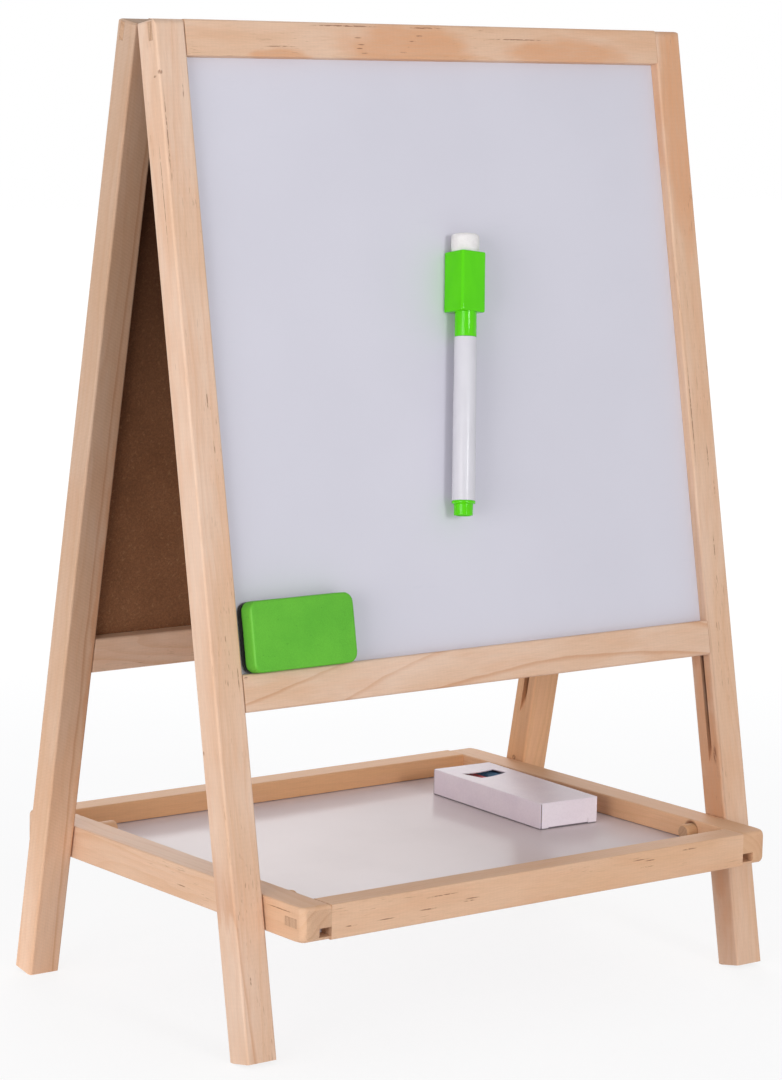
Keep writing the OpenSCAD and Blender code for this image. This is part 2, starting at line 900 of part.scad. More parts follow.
// The carton's window, whose long edges bow towards the carton's near end
module window_outline() {
    steps = [-1 : 0.25 : 1];
    far_edge = [for (t = steps) [t * window_w / 2, window_len / 2 - window_bow * (1 - t * t)]];
    near_edge = [for (t = steps) [-t * window_w / 2, -window_len / 2 - window_bow * (1 - t * t)]];
    polygon(concat(far_edge, near_edge));
}

module chalk_carton() {
    half_w_c = carton_w / 2;
    half_l = carton_len / 2;
    color("gainsboro")
        carton_pose()
            difference() {
                box(-half_w_c, half_w_c, -half_l + carton_wall + seat_gap, half_l, 0, carton_h);
                box(-half_w_c + carton_wall, half_w_c - carton_wall, -half_l - past, half_l - carton_wall,
                    carton_wall, carton_h - carton_wall);
                translate([0, window_y, carton_h - 2 * carton_wall])
                    linear_extrude(2 * carton_wall + past)
                        window_outline();
            }
}

module chalk_carton_flap() {
    half_l = carton_len / 2;
    flap_w = carton_w / 2;
    tuck_w = flap_w - carton_wall - tuck_side_gap;
    color("gainsboro")
        carton_pose() {
            box(-flap_w, flap_w, -half_l, -half_l + carton_wall, flap_lift, carton_h);
            box(-tuck_w, tuck_w, -half_l + carton_wall, -half_l + tuck_len, tuck_lift, tuck_lift + tuck_th);
        }
}

// One stick of chalk in the carton; place is -1, 0 or 1 from left to right
module chalk_stick(place) {
    carton_pose()
        translate([place * chalk_pitch, carton_len / 2 - carton_wall - chalk_end_gap,
                   carton_wall + seat_gap + chalk_d / 2])
            rotate([90, 0, 0])
                cylinder(d1 = chalk_d - chalk_taper, d2 = chalk_d, h = chalk_len);
}

module chalk_red() {
    color("indianred")
        chalk_stick(0);
}

module chalk_blue() {
    color("steelblue")
        chalk_stick(1);
}

module chalk_yellow() {
    color("khaki")
        chalk_stick(-1);
}

front_leg(-1);  // front_left_leg
front_leg(1);  // front_right_leg
front_top_rail();
front_bottom_rail();
whiteboard_backing();
whiteboard_sheet();
front_hinge_leaves();
front_hinge_screws();
hinge_pins();
rear_leg(-1);  // rear_left_leg
rear_leg(1);  // rear_right_leg
rear_top_rail();
rear_bottom_rail();
chalkboard_backing();
chalkboard_sheet();
rear_hinge_leaves();
rear_hinge_screws();
tray_left_rail();
tray_right_rail();
tray_front_rail();
tray_rear_rail();
tray_panel();
front_left_peg();
front_right_peg();
rear_left_peg();
rear_right_peg();
marker_barrel();
marker_end_plug();
marker_nib_holder();
marker_nib();
marker_ink_core();
marker_cap();
marker_cap_magnet();
marker_felt_pad();
eraser_body();
eraser_magnet();
eraser_felt();
chalk_carton();
chalk_carton_flap();
chalk_red();
chalk_blue();
chalk_yellow();
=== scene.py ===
import json
import math

import bmesh
import bpy
from mathutils import Matrix, Vector, noise


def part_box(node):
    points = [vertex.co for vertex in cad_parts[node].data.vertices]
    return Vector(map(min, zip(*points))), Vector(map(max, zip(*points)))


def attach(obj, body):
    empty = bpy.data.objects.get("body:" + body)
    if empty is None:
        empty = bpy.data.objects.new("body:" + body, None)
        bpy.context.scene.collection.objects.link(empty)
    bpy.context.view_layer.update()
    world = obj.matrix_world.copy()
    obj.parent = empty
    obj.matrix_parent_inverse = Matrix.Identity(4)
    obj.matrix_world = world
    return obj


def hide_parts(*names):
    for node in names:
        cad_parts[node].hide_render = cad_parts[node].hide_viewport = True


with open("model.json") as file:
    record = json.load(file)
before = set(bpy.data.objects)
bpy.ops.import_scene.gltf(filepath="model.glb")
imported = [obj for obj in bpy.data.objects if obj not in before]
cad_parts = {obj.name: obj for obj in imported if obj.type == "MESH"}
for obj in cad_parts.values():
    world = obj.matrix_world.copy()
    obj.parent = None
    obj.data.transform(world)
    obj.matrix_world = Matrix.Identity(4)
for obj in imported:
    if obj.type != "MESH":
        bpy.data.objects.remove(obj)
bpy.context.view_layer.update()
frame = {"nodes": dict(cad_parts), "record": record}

MM = 0.001
JOINTS = {joint["name"]: joint for joint in frame["record"]["behaviour"]["joints"]}

# The frames lean on the hinge pins: leaning space has X to the right, -Y outward and Z up the legs
LEAN = math.radians(10.4)
PIN = Vector(JOINTS["rear_frame_fold"]["pos_m"])
FRONT_UP = Vector((0, math.sin(LEAN), math.cos(LEAN)))
REAR_UP = Vector((0, -math.sin(LEAN), math.cos(LEAN)))
RIGHT = Vector((1, 0, 0))
BACKWARD = Vector((0, 1, 0))

# Sizes in millimetres, the same as the solids have
MARKER_FOOT = (-9.7, -17.65, -222.5)
MARKER_TILT = math.radians(7.4)
PLUG_TIP, PLUG_FLANGE = 5.4, 1.4
BARREL_LOW = PLUG_TIP + PLUG_FLANGE
BARREL_LEN = 74.7
COLLAR_LOW = BARREL_LOW + BARREL_LEN
BLOCK_LOW = COLLAR_LOW + 11.4
BLOCK_HIGH = BLOCK_LOW + 27.5
CAP_W, CAP_D, CAP_BACK = 13.8, 14, 8
CAP_MID = CAP_BACK - CAP_D / 2
BORE_R, BARREL_R, THROAT_R, COLLAR_R = 4.1, 5.38, 3.3, 5.0
BLOCK_CORNER, PAD_SOCKET_R, POCKET_R = 1.3, 6.25, 4.05
ERASER_AT = (-105.15, -9.65, -266.95)
ERASER_W, ERASER_H = 55.5, 31.2
FELT_TH, FOAM_TH = 2.8, 7.7
CARTON_AT = (91.5, 22, 62.05)
CARTON_TURN = math.radians(-3.2)
CARTON_W, CARTON_L, CARTON_H = 34.5, 90, 13
BOARD_TH = 0.5

# Ends of the tray's side rails: ball corners across and up, and the round edge that grows towards the end
SANDED_W, SANDED_H, SANDED_LEN = 4, 3, 9
RAIL_EDGE_R, CORNER_R = 0.78, 2.6
SANDED_SLACK, INNER_PLAY = 0.02, 0.04

# The camera's place in millimetres and its turns in degrees, fitted to the frame's edges
CAMERA_AT = (-961.872, -1233.762, 437.218)
CAMERA_TURNS = (-37.759, -8.406, 1.24)
CAMERA_LENS = 112.441
ROOM_LIGHT = 0.50


def leaning(point):
    """The matrix of a place in the front frame's leaning space, for a point in millimetres."""
    return Matrix.Translation(PIN) @ Matrix.Rotation(-LEAN, 4, "X") @ Matrix.Translation(Vector(point) * MM)


MARKER = leaning(MARKER_FOOT) @ Matrix.Rotation(MARKER_TILT, 4, "Y")
ERASER = leaning(ERASER_AT)
CARTON = Matrix.Translation(Vector(CARTON_AT) * MM) @ Matrix.Rotation(CARTON_TURN, 4, "Z")


def tint(red, green, blue):
    """A screen colour, 0 to 255, as the linear colour that a shader takes."""
    return tuple((c / 255 / 12.92) if c < 10.3 else ((c / 255 + 0.055) / 1.055) ** 2.4
                 for c in (red, green, blue)) + (1.0,)


# The brown of painted shade
SHADE_BROWN = tint(112, 60, 28)


class Value:
    """A socket of a finish's nodes, used in sums as a number is."""

    def __init__(self, finish, socket):
        self.finish, self.socket = finish, socket

    def sum(self, operation, *terms):
        return self.finish.node("ShaderNodeMath", {"operation": operation}, dict(enumerate(terms)))

    def __add__(self, other):
        return self.sum("ADD", self, other)

    def __sub__(self, other):
        return self.sum("SUBTRACT", self, other)

    def __rsub__(self, other):
        return self.sum("SUBTRACT", other, self)

    def __mul__(self, other):
        return self.sum("MULTIPLY", self, other)

    def __truediv__(self, other):
        return self.sum("DIVIDE", self, other)

    def __pow__(self, other):
        return self.sum("POWER", self, other)

    def __abs__(self):
        return self.sum("ABSOLUTE", self)

    def part(self):
        return self.sum("FRACT", self)

    def floor(self):
        return self.sum("FLOOR", self)

    def sine(self):
        return self.sum("SINE", self)

    def most(self, other):
        return self.sum("MAXIMUM", self, other)

    __radd__, __rmul__ = __add__, __mul__


class Finish:
    """One material, written as Python sums on its sockets. Places are in millimetres."""

    def __init__(self, name):
        self.material = bpy.data.materials.new(name)
        self.material.use_nodes = True
        self.material.node_tree.nodes.clear()

    def node(self, kind, settings, values, out=0):
        """Adds a node, sets it up, fills its sockets and gives the output asked for."""
        node = self.material.node_tree.nodes.new(kind)
        for key, setting in settings.items():
            setattr(node, key, setting)
        for key, value in values.items():
            if isinstance(value, Value):
                self.material.node_tree.links.new(value.socket, node.inputs[key])
            else:
                node.inputs[key].default_value = value
        return Value(self, node.outputs[out])

    def place(self, middle=(0, 0, 0), turn=(0, 0, 0)):
        """Object coordinates in millimetres, centred on a point and turned."""
        objects = self.node("ShaderNodeTexCoord", {}, {}, "Object")
        local = self.node("ShaderNodeMapping", {"vector_type": "TEXTURE"},
                          {"Vector": objects, "Location": middle, "Rotation": turn})
        return self.node("ShaderNodeVectorMath", {"operation": "SCALE"}, {0: local, "Scale": 1 / MM})

    def vector(self, operation, one, two, out=0):
        return self.node("ShaderNodeVectorMath", {"operation": operation}, {0: one, 1: two}, out)

    def split(self, vector):
        return [self.node("ShaderNodeSeparateXYZ", {}, {0: vector}, axis) for axis in range(3)]

    def noise(self, where, scale, detail=2.0, rough=0.5, warp=0.0):
        return self.node("ShaderNodeTexNoise", {}, {"Vector": self.vector("MULTIPLY", where, scale), "Scale": 1.0,
                                                    "Detail": detail, "Roughness": rough, "Distortion": warp})

    def cells(self, where, scale):
        return self.node("ShaderNodeTexVoronoi", {}, {"Vector": self.vector("MULTIPLY", where, scale), "Scale": 1.0})

    def step(self, value, low, high, start=0.0, stop=1.0):
        """Goes smoothly from start to stop as the value goes from low to high."""
        return self.node("ShaderNodeMapRange", {"interpolation_type": "SMOOTHSTEP"},
                         {"Value": value, "From Min": low, "From Max": high, "To Min": start, "To Max": stop})

    def mix(self, share, one, two):
        return self.node("ShaderNodeMix", {"data_type": "RGBA"}, {0: share, 6: one, 7: two}, 2)

    def shade(self, colour, amount):
        """A colour made darker or lighter by an amount that varies."""
        colour = colour if isinstance(colour, Value) else colour[:3]
        return self.node("ShaderNodeVectorMath", {"operation": "SCALE"}, {0: colour, "Scale": amount})

    def spot(self, where, middle, radii, soft=0.35):
        """1 inside an oval spot, fading to 0 at its rim."""
        away = self.vector("DIVIDE", self.vector("SUBTRACT", where, middle), radii)
        return self.step(self.node("ShaderNodeVectorMath", {"operation": "LENGTH"}, {0: away}, "Value"),
                         1.0 - soft, 1.0, 1.0, 0.0)

    def close(self, colour, roughness, relief=None, depth=0.1, **fixed):
        """Ends the finish in its shader. Depth is the height of the relief in millimetres."""
        values = {"Base Color": colour, "Roughness": roughness}
        if relief is not None:
            values["Normal"] = self.node("ShaderNodeBump", {}, {"Height": relief, "Distance": depth * MM})
        values.update({key.replace("_", " "): value for key, value in fixed.items()})
        self.output(self.node("ShaderNodeBsdfPrincipled", {}, values))
        return self

    def output(self, shader):
        end = self.material.node_tree.nodes.new("ShaderNodeOutputMaterial")
        self.material.node_tree.links.new(shader.socket, end.inputs["Surface"])


def through(curve):
    """The level, slant and bend of a parabola through three (along, across) places, and the curve's width."""
    (a, ya), (b, yb), (c, yc), width = curve
    bend = ((yc - ya) / (c - a) - (yb - ya) / (b - a)) / (c - b)
    slant = (yb - ya) / (b - a) - bend * (a + b)
    return ya - slant * a - bend * a * a, slant, bend, width


def pine(node, along, seed, rings=2.7, pith=(34, 19), slope=0.02, tan=0.3, flecks=0.5, figure=0.4, saw=0.0,
         ends=0.75, light=(1.0, 1.0), stains=(), marks=(), curves=(), shades=()):
    """Planed, unvarnished pine for one bar, cut from a log whose heart runs beside it.

    along is the way the grain runs, rings the width of a year, pith the heart's distance, slope its slant and
    figure how much the years show. light is painted light and shade: a brightness that goes from the bar's low
    end to its high end. stains and marks are orange and dark spots: a place in the bar's own space and three
    radii. curves are late wood lines in a face: three places along and across the bar, and the width. shades are
    painted shade and painted light: places with how much browner they are, or paler where that is negative, and
    ends is how dark the end grain is."""
    low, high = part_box(node)
    across = BACKWARD.cross(along) if abs(along.y) < 0.9 else RIGHT
    bar = Matrix((across, along.cross(across), along)).transposed()
    half = (high - low).length / 2 / MM
    f = Finish("pine_" + node)
    p = f.place((low + high) / 2, bar.to_euler())
    q = f.vector("ADD", p, (seed * 37.3, seed * 11.9, seed * 83.1))
    x, y, z = f.split(p)
    wander = f.noise(q, (0.03, 0.03, 0.008), 2.0) - 0.5
    ripple = f.noise(q, (0.16, 0.16, 0.03), 3.0, 0.6) - 0.5
    heart = ((x - pith[0] - z * slope) ** 2 + (y - pith[1]) ** 2) ** 0.5 + wander * 14 + ripple * 1.6
    year = heart / rings
    turn = year.part()
    strong = f.node("ShaderNodeTexNoise", {"noise_dimensions": "1D"}, {"W": year.floor() * 3.7, "Scale": 1.0})
    late = f.step(turn, 0.3, 0.88) * f.step(turn, 0.9, 0.99, 1.0, 0.0) * f.step(strong, 0.3, 0.7, 0.15, 1.0)
    fibre = f.noise(q, (3.2, 3.2, 0.10), 3.0, 0.65)
    hair = f.noise(q, (9.0, 9.0, 0.30), 2.0, 0.6)
    cloud = f.noise(q, (0.045, 0.045, 0.012), 3.0)
    blush = f.noise(q, (0.11, 0.11, 0.02), 3.0, 0.6)
    shoal = f.step(f.noise(q, (0.09, 0.09, 0.022), 1.0), 0.50, 0.66)
    fleck = f.step(f.noise(q, (2.0, 2.0, 0.16), 1.5, 0.4), 0.665, 0.73) * shoal * flecks
    facing = f.node("ShaderNodeTexCoord", {}, {}, "Normal")
    end = f.step(abs(f.vector("DOT_PRODUCT", facing, along, "Value")), 0.82, 0.95)
    pale = f.mix(f.step(cloud, 0.35, 0.68), tint(226, 197, 176), tint(219, 183, 156))
    pale = f.mix(tan, pale, tint(220, 169, 124))
    pale = f.mix(f.step(blush, 0.45, 0.7) * 0.35, pale, tint(216, 166, 130))
    colour = f.mix(late * figure, pale, tint(202, 150, 108))
    swirl = f.node("ShaderNodeTexNoise", {}, {"Vector": f.vector("MULTIPLY", q, (0.12, 0.12, 0.05)), "Scale": 1.0}, 1)
    warped = f.vector("ADD", p, f.vector("MULTIPLY", f.vector("SUBTRACT", swirl, (0.5, 0.5, 0.5)), (7, 7, 34)))
    for middle, radii in stains:
        colour = f.mix(f.spot(warped, middle, radii, 0.45) * f.step(fibre, 0.3, 0.6, 0.42, 0.66),
                       colour, tint(211, 149, 104))
    colour = f.shade(colour, f.step(fibre, 0.25, 0.75, 0.94, 1.04) * f.step(hair, 0.3, 0.7, 0.965, 1.02))
    for curve in curves:
        middle, slant, bend, width = through(curve)
        line = x - middle - z * slant - z * z * bend - ripple * 2.5
        band = f.step(line, -0.5, 0.0) * f.step(line, 0.0, width, 1.0, 0.0)
        colour = f.mix(band * f.step(cloud, 0.3, 0.6, 0.22, 0.5), colour, tint(190, 130, 88))
    dark = fleck * (1 - end)
    broken = f.step(f.noise(q, (1.6, 1.6, 0.35), 2.0, 0.6), 0.36, 0.52)
    for middle, radii in marks:
        dark = dark.most(f.spot(p, middle, radii, 0.6) * broken)
    colour = f.mix(dark * 0.72, colour, tint(122, 74, 44))
    pores = f.step(f.noise(q, (2.6, 2.6, 0.7), 2.0), 0.4, 0.62)
    colour = f.mix(end * ends, colour, f.shade(f.mix(late, tint(200, 162, 132), tint(172, 130, 100)),
                                               0.78 + pores * 0.22))
    chatter = (z * 3.1 + wander * 9).sine()
    relief = fibre * 0.5 + hair * 0.35 - dark * 0.9 + late * 0.25 + end * pores * 0.6 + chatter * 0.05
    colour = f.shade(colour, 1 + chatter * 0.007)
    if saw:
        stroke = f.vector("DOT_PRODUCT", p, (1.9, 1.9, 3.4), "Value") + f.noise(q, (0.3, 0.3, 0.3)) * 3
        cuts = (stroke * 1.15).sine()
        colour = f.shade(colour, 1 - cuts * 0.012 * saw)
        relief = relief + cuts * 0.16 * saw
    # Painted shade makes places browner; painted light, where the amount is negative, makes them paler
    for middle, radii, amount in shades:
        painted_shading = f.spot(p, middle, radii, 0.3) * abs(amount)
        colour = f.shade(colour, 1 + painted_shading) if amount < 0 else f.mix(painted_shading, colour, SHADE_BROWN)
    # Painted light and shade: the colour is scaled from the bar's low end to its high end
    if light != (1.0, 1.0):
        fall = (0.5 - z / (2 * half)) ** 3
        colour = f.shade(colour, light[1] + fall * (light[0] - light[1]))
    roughness = f.step(fibre, 0.2, 0.8, 0.50, 0.64) + end * 0.2
    f.close(colour, roughness, relief, 0.06, Specular_IOR_Level=0.35)
    return f


def enamel():
    """Satin white enamel on sheet steel, wiped clean many times."""
    f = Finish("whiteboard_enamel")
    p = f.place()
    cloud = f.noise(p, (0.012, 0.012, 0.012), 2.0)
    wipe = f.noise(p, (0.05, 0.05, 0.4), 3.0, 0.6, 0.4)
    peel = f.noise(p, (0.35, 0.35, 0.35), 2.0)
    colour = f.mix(f.step(cloud, 0.3, 0.7), tint(212, 210, 220), tint(209, 207, 217))
    colour = f.mix(f.step(wipe, 0.62, 0.8) * 0.25, colour, tint(202, 202, 213))
    return f.close(colour, 0.36 + wipe * 0.10, peel, 0.012, Specular_IOR_Level=0.22)


def laminate():
    """Satin white laminate of the tray's panel, with a little chalk dust."""
    f = Finish("tray_laminate")
    p = f.place()
    cloud = f.noise(p, (0.02, 0.02, 0.02), 2.0)
    dust = f.step(f.noise(p, (0.25, 0.25, 0.25), 4.0, 0.7), 0.55, 0.75)
    colour = f.mix(f.step(cloud, 0.3, 0.7), tint(228, 216, 218), tint(224, 212, 214))
    colour = f.mix(dust * 0.04, colour, tint(232, 226, 226))
    return f.close(colour, 0.20 + dust * 0.03, f.noise(p, (0.5, 0.5, 0.5), 2.0), 0.008, Specular_IOR_Level=0.04)


def hardboard(name, top=1.0):
    """Pressed brown fibre board with its woven screen side out; top is how much painted shade darkens its upper part,
    between the frames.
    """
    f = Finish(name)
    p = f.place()
    fibre = f.noise(p, (1.1, 1.1, 1.1), 4.0, 0.75)
    chips = f.step(f.noise(p, (0.55, 0.55, 0.55), 3.0, 0.6, 0.8), 0.55, 0.72)
    shade = f.step(f.noise(p, (0.02, 0.02, 0.02), 2.0), 0.3, 0.7)
    colour = f.mix(shade, tint(150, 104, 72), tint(134, 90, 60))
    colour = f.mix(chips * 0.5, colour, tint(176, 130, 94))
    colour = f.shade(colour, f.step(fibre, 0.3, 0.72, 0.72, 1.12))
    # Painted shade on the upper part, between the two frames
    if top < 1:
        colour = f.mix(f.step(f.split(p)[2], 200, 400) * (1 - top), colour, tint(52, 24, 12))
    return f.close(colour, 0.86, fibre, 0.25, Specular_IOR_Level=0.2)


def chalk_paint():
    """Matt chalkboard paint with the haze of rubbed out chalk."""
    f = Finish("chalk_paint")
    p = f.place()
    haze = f.noise(p, (0.014, 0.014, 0.009), 4.0, 0.65, 0.6)
    streak = f.noise(p, (0.03, 0.03, 0.22), 3.0, 0.7, 0.5)
    tooth = f.noise(p, (2.2, 2.2, 2.2), 2.0)
    dusty = f.step(haze, 0.42, 0.75) * 0.20 + f.step(streak, 0.52, 0.8) * 0.08
    colour = f.mix(dusty, tint(44, 49, 49), tint(150, 154, 152))
    colour = f.shade(colour, f.step(tooth, 0.3, 0.7, 0.9, 1.08))
    return f.close(colour, 0.88, tooth, 0.05, Specular_IOR_Level=0.25)


def steel(name, colour, brushed=0.5):
    """Zinc plated steel, brushed along X."""
    f = Finish(name)
    p = f.place()
    brush = f.noise(p, (0.2, 6.0, 6.0), 3.0, 0.6)
    spangle = f.noise(p, (0.9, 0.9, 0.9), 2.0)
    colour = f.shade(colour, f.step(brush, 0.3, 0.7, 0.88, 1.06) * f.step(spangle, 0.3, 0.7, 0.93, 1.04))
    return f.close(colour, 0.30 + spangle * 0.18, brush * brushed, 0.02, Metallic=1.0)


def moulded(name, colour, deep, roughness, gloss):
    """Glossy injection moulded plastic, a little uneven where it shrank."""
    f = Finish(name)
    p = f.place()
    flow = f.noise(p, (0.12, 0.12, 0.05), 2.0, 0.5, 0.5)
    peel = f.noise(p, (1.3, 1.3, 1.3), 2.0)
    shaded = f.mix(f.step(flow, 0.3, 0.7), colour, deep)
    return f.close(shaded, roughness + peel * 0.06, flow * 0.8 + peel * 0.2, 0.02, Specular_IOR_Level=gloss)


def felt(name, colour, deep):
    """Pressed felt: a mat of short fibres in all directions."""
    f = Finish(name)
    p = f.place()
    mat = f.noise(p, (2.6, 2.6, 2.6), 4.0, 0.8, 1.5)
    clump = f.noise(p, (0.5, 0.5, 0.5), 3.0)
    shaded = f.mix(f.step(mat, 0.34, 0.66) * 0.6 + f.step(clump, 0.3, 0.7) * 0.4, deep, colour)
    return f.close(shaded, 0.95, mat, 0.16, Specular_IOR_Level=0.15, Sheen_Weight=0.35, Sheen_Roughness=0.5)


def foam():
    """Fine closed cell foam, dyed green, with small open cells at the surface and a painted highlight along its front
    left edge.
    """
    f = Finish("green_foam")
    p = f.place(ERASER.translation, ERASER.to_euler())
    across, out, _ = f.split(p)
    cells = f.cells(p, (1.9, 1.9, 1.9))
    fine = f.noise(p, (2.8, 2.8, 2.8), 3.0, 0.7)
    pit = f.step(f.noise(p, (0.85, 0.85, 0.85), 2.0, 0.5), 0.69, 0.76)
    # A painted highlight along the front left edge
    painted_highlight = f.step(abs(across + ERASER_W / 2 - 0.4), 0.1, 0.5, 1.0, 0.0) * f.step(out, -10.3, -9.5, 1.0, 0.0)
    cloud = f.noise(p, (0.06, 0.06, 0.06), 3.0)
    colour = f.mix(f.step(cloud, 0.3, 0.7), tint(99, 182, 52), tint(91, 174, 48))
    colour = f.shade(colour, f.step(fine, 0.3, 0.7, 0.93, 1.05) * f.step(cells, 0.1, 0.55, 0.95, 1.03))
    colour = f.mix(pit * 0.6, colour, tint(58, 126, 30))
    colour = f.mix(painted_highlight * 0.25, colour, tint(150, 218, 104))
    return f.close(colour, 0.74, fine * 0.6 + cells * 0.5 - pit * 0.9, 0.10, Specular_IOR_Level=0.3)


def carton_board(name, bright, dull):
    """Thin coated paperboard, with fibres under the coat, and painted shade at its foot and its far end."""
    f = Finish(name)
    p = f.place(CARTON.translation, CARTON.to_euler())
    _, along, height = f.split(p)
    fibre = f.noise(p, (0.8, 0.8, 0.8), 4.0, 0.7, 0.6)
    cloud = f.noise(p, (0.07, 0.07, 0.07), 2.0)
    colour = f.mix(f.step(cloud, 0.3, 0.7), bright, dull)
    colour = f.shade(colour, f.step(fibre, 0.3, 0.7, 0.97, 1.02))
    # Painted shadow along the foot, where the carton sits on the tray, and a painted shade line at the far end
    colour = f.shade(colour, f.step(height, 0.35, 0.75, 0.22, 1.0) * f.step(along, 44.0, 44.6, 1.0, 0.5))
    return f.close(colour, 0.42 + fibre * 0.1, fibre, 0.02, Specular_IOR_Level=0.4)


def chalk(name, colour, dusty):
    """A stick of chalk, dusty and a little porous."""
    f = Finish(name)
    p = f.place()
    dust = f.noise(p, (0.45, 0.45, 0.45), 4.0, 0.7)
    pore = f.step(f.noise(p, (2.4, 2.4, 2.4), 2.0), 0.6, 0.75)
    shaded = f.mix(f.step(dust, 0.35, 0.7) * 0.7, colour, dusty)
    shaded = f.shade(shaded, 1 - pore * 0.18)
    return f.close(shaded, 0.93, dust - pore * 0.8, 0.09, Specular_IOR_Level=0.15)


def fibre_tip(name, colour, deep):
    """Bonded fibre, as in a nib or an ink core."""
    f = Finish(name)
    p = f.place()
    strand = f.noise(p, (5.0, 5.0, 0.4), 3.0, 0.7)
    return f.close(f.mix(f.step(strand, 0.3, 0.7), colour, deep), 0.8, strand, 0.05)


def sintered():
    """Dark sintered magnet with a fine grain."""
    f = Finish("magnet")
    p = f.place()
    grain = f.noise(p, (3.5, 3.5, 3.5), 3.0, 0.7)
    colour = f.mix(f.step(grain, 0.3, 0.7), tint(62, 62, 66), tint(88, 88, 92))
    return f.close(colour, 0.5 + grain * 0.15, grain, 0.03, Metallic=0.6)


def piece(name, mesh, finish, body, slot, *replaced, sharp=40):
    """A finished piece from a mesh in the row frame, riding on its body in place of some nodes."""
    mesh.materials.clear()
    mesh.materials.append(finish.material)
    mesh.shade_smooth()
    mesh.set_sharp_from_angle(angle=math.radians(sharp))
    made = bpy.data.objects.new(name, mesh)
    bpy.context.scene.collection.objects.link(made)
    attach(made, body)
    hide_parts(*replaced)
    return made


def close_mesh(built, name, place):
    """Turns bmesh work in millimetres into a mesh in the row frame, with its faces outwards."""
    bmesh.ops.remove_doubles(built, verts=built.verts, dist=0.0005)
    bmesh.ops.recalc_face_normals(built, faces=built.faces)
    built.transform(place @ Matrix.Scale(MM, 4))
    mesh = bpy.data.meshes.new(name)
    built.to_mesh(mesh)
    built.free()
    return mesh


def skin(built, loops, closed=False, capped=True):
    """Faces between rings of points, with the two ends capped or joined."""
    rings = [[built.verts.new(point) for point in loop] for loop in loops]
    count = len(rings[0])
    pairs = list(zip(rings, rings[1:])) + ([(rings[-1], rings[0])] if closed else [])
    for low, high in pairs:
        for k in range(count):
            built.faces.new((low[k], low[k - 1], high[k - 1], high[k]))
    if capped and not closed:
        for ring in (rings[0], rings[-1]):
            built.faces.new(ring)


def circle(radius, height, turns=72):
    return [(radius * math.cos(2 * math.pi * k / turns), radius * math.sin(2 * math.pi * k / turns), height)
            for k in range(turns)]


def turned(name, profile, place, closed=False, turns=72):
    """A mesh turned about Z from (radius, height) points in millimetres."""
    built = bmesh.new()
    skin(built, [circle(radius, height, turns) for radius, height in profile], closed)
    return close_mesh(built, name, place)


def rounded(points, radius, steps=5):
    """A profile with each of its inner corners rounded by up to a radius."""
    out = [points[0]]
    for before, at, after in zip(points, points[1:], points[2:]):
        a, b, c = Vector(before), Vector(at), Vector(after)
        reach = min(radius, (a - b).length * 0.45, (c - b).length * 0.45)
        start, stop = b + (a - b).normalized() * reach, b + (c - b).normalized() * reach
        for k in range(steps + 1):
            t = k / steps
            out.append(tuple(start * (1 - t) ** 2 + b * 2 * t * (1 - t) + stop * t ** 2))
    return out + [points[-1]]


def square(half_x, half_y, radius, height, steps=7, middle=0.0):
    """A ring of points round a rectangle with round corners; a circle where the radius is the half."""
    ring = []
    for corner, (sx, sy) in enumerate(((1, 1), (-1, 1), (-1, -1), (1, -1))):
        for k in range(steps + 1):
            angle = math.pi / 2 * (corner + k / steps)
            ring.append((sx * (half_x - radius) + radius * math.cos(angle),
                         middle + sy * (half_y - radius) + radius * math.sin(angle), height))
    return ring


def settled(holder):
    """What an object's modifiers make of its mesh, as a plain mesh. The object is removed."""
    bpy.context.view_layer.update()
    result = bpy.data.meshes.new_from_object(holder.evaluated_get(bpy.context.evaluated_depsgraph_get()))
    holder.modifiers.clear()
    bpy.data.objects.remove(holder)
    return result


def evaluated(mesh, name, *modifiers):
    """A mesh with modifiers applied, each given as a type and its settings."""
    holder = bpy.data.objects.new(name, mesh)
    bpy.context.scene.collection.objects.link(holder)
    for kind, settings in modifiers:
        modifier = holder.modifiers.new(kind.lower(), kind)
        for key, setting in settings.items():
            setattr(modifier, key, setting)
    return settled(holder)


def cut(mesh, cutter_mesh, name, operation="DIFFERENCE"):
    """A mesh with another mesh cut out of it, or what the two share."""
    cutter = bpy.data.objects.new(name + "_cutter", cutter_mesh)
    bpy.context.scene.collection.objects.link(cutter)
    result = evaluated(mesh, name, ("BOOLEAN", {"object": cutter, "operation": operation, "solver": "EXACT"}))
    bpy.data.objects.remove(cutter)
    return result


def soften(mesh, coarse, coarse_height, fine, fine_height, seed):
    """Moves the points of a soft piece along their normals by two sizes of noise, in millimetres."""
    shift = Vector((seed * 7.1, seed * 3.3, seed * 5.7))
    moved = []
    for vertex in mesh.vertices:
        where = vertex.co / MM
        bump = noise.noise(where / coarse + shift) * coarse_height + noise.noise(where / fine + shift) * fine_height
        moved.extend(vertex.co + vertex.normal * min(bump, 0.0) * MM)
    mesh.vertices.foreach_set("co", moved)
    mesh.update()
    return mesh


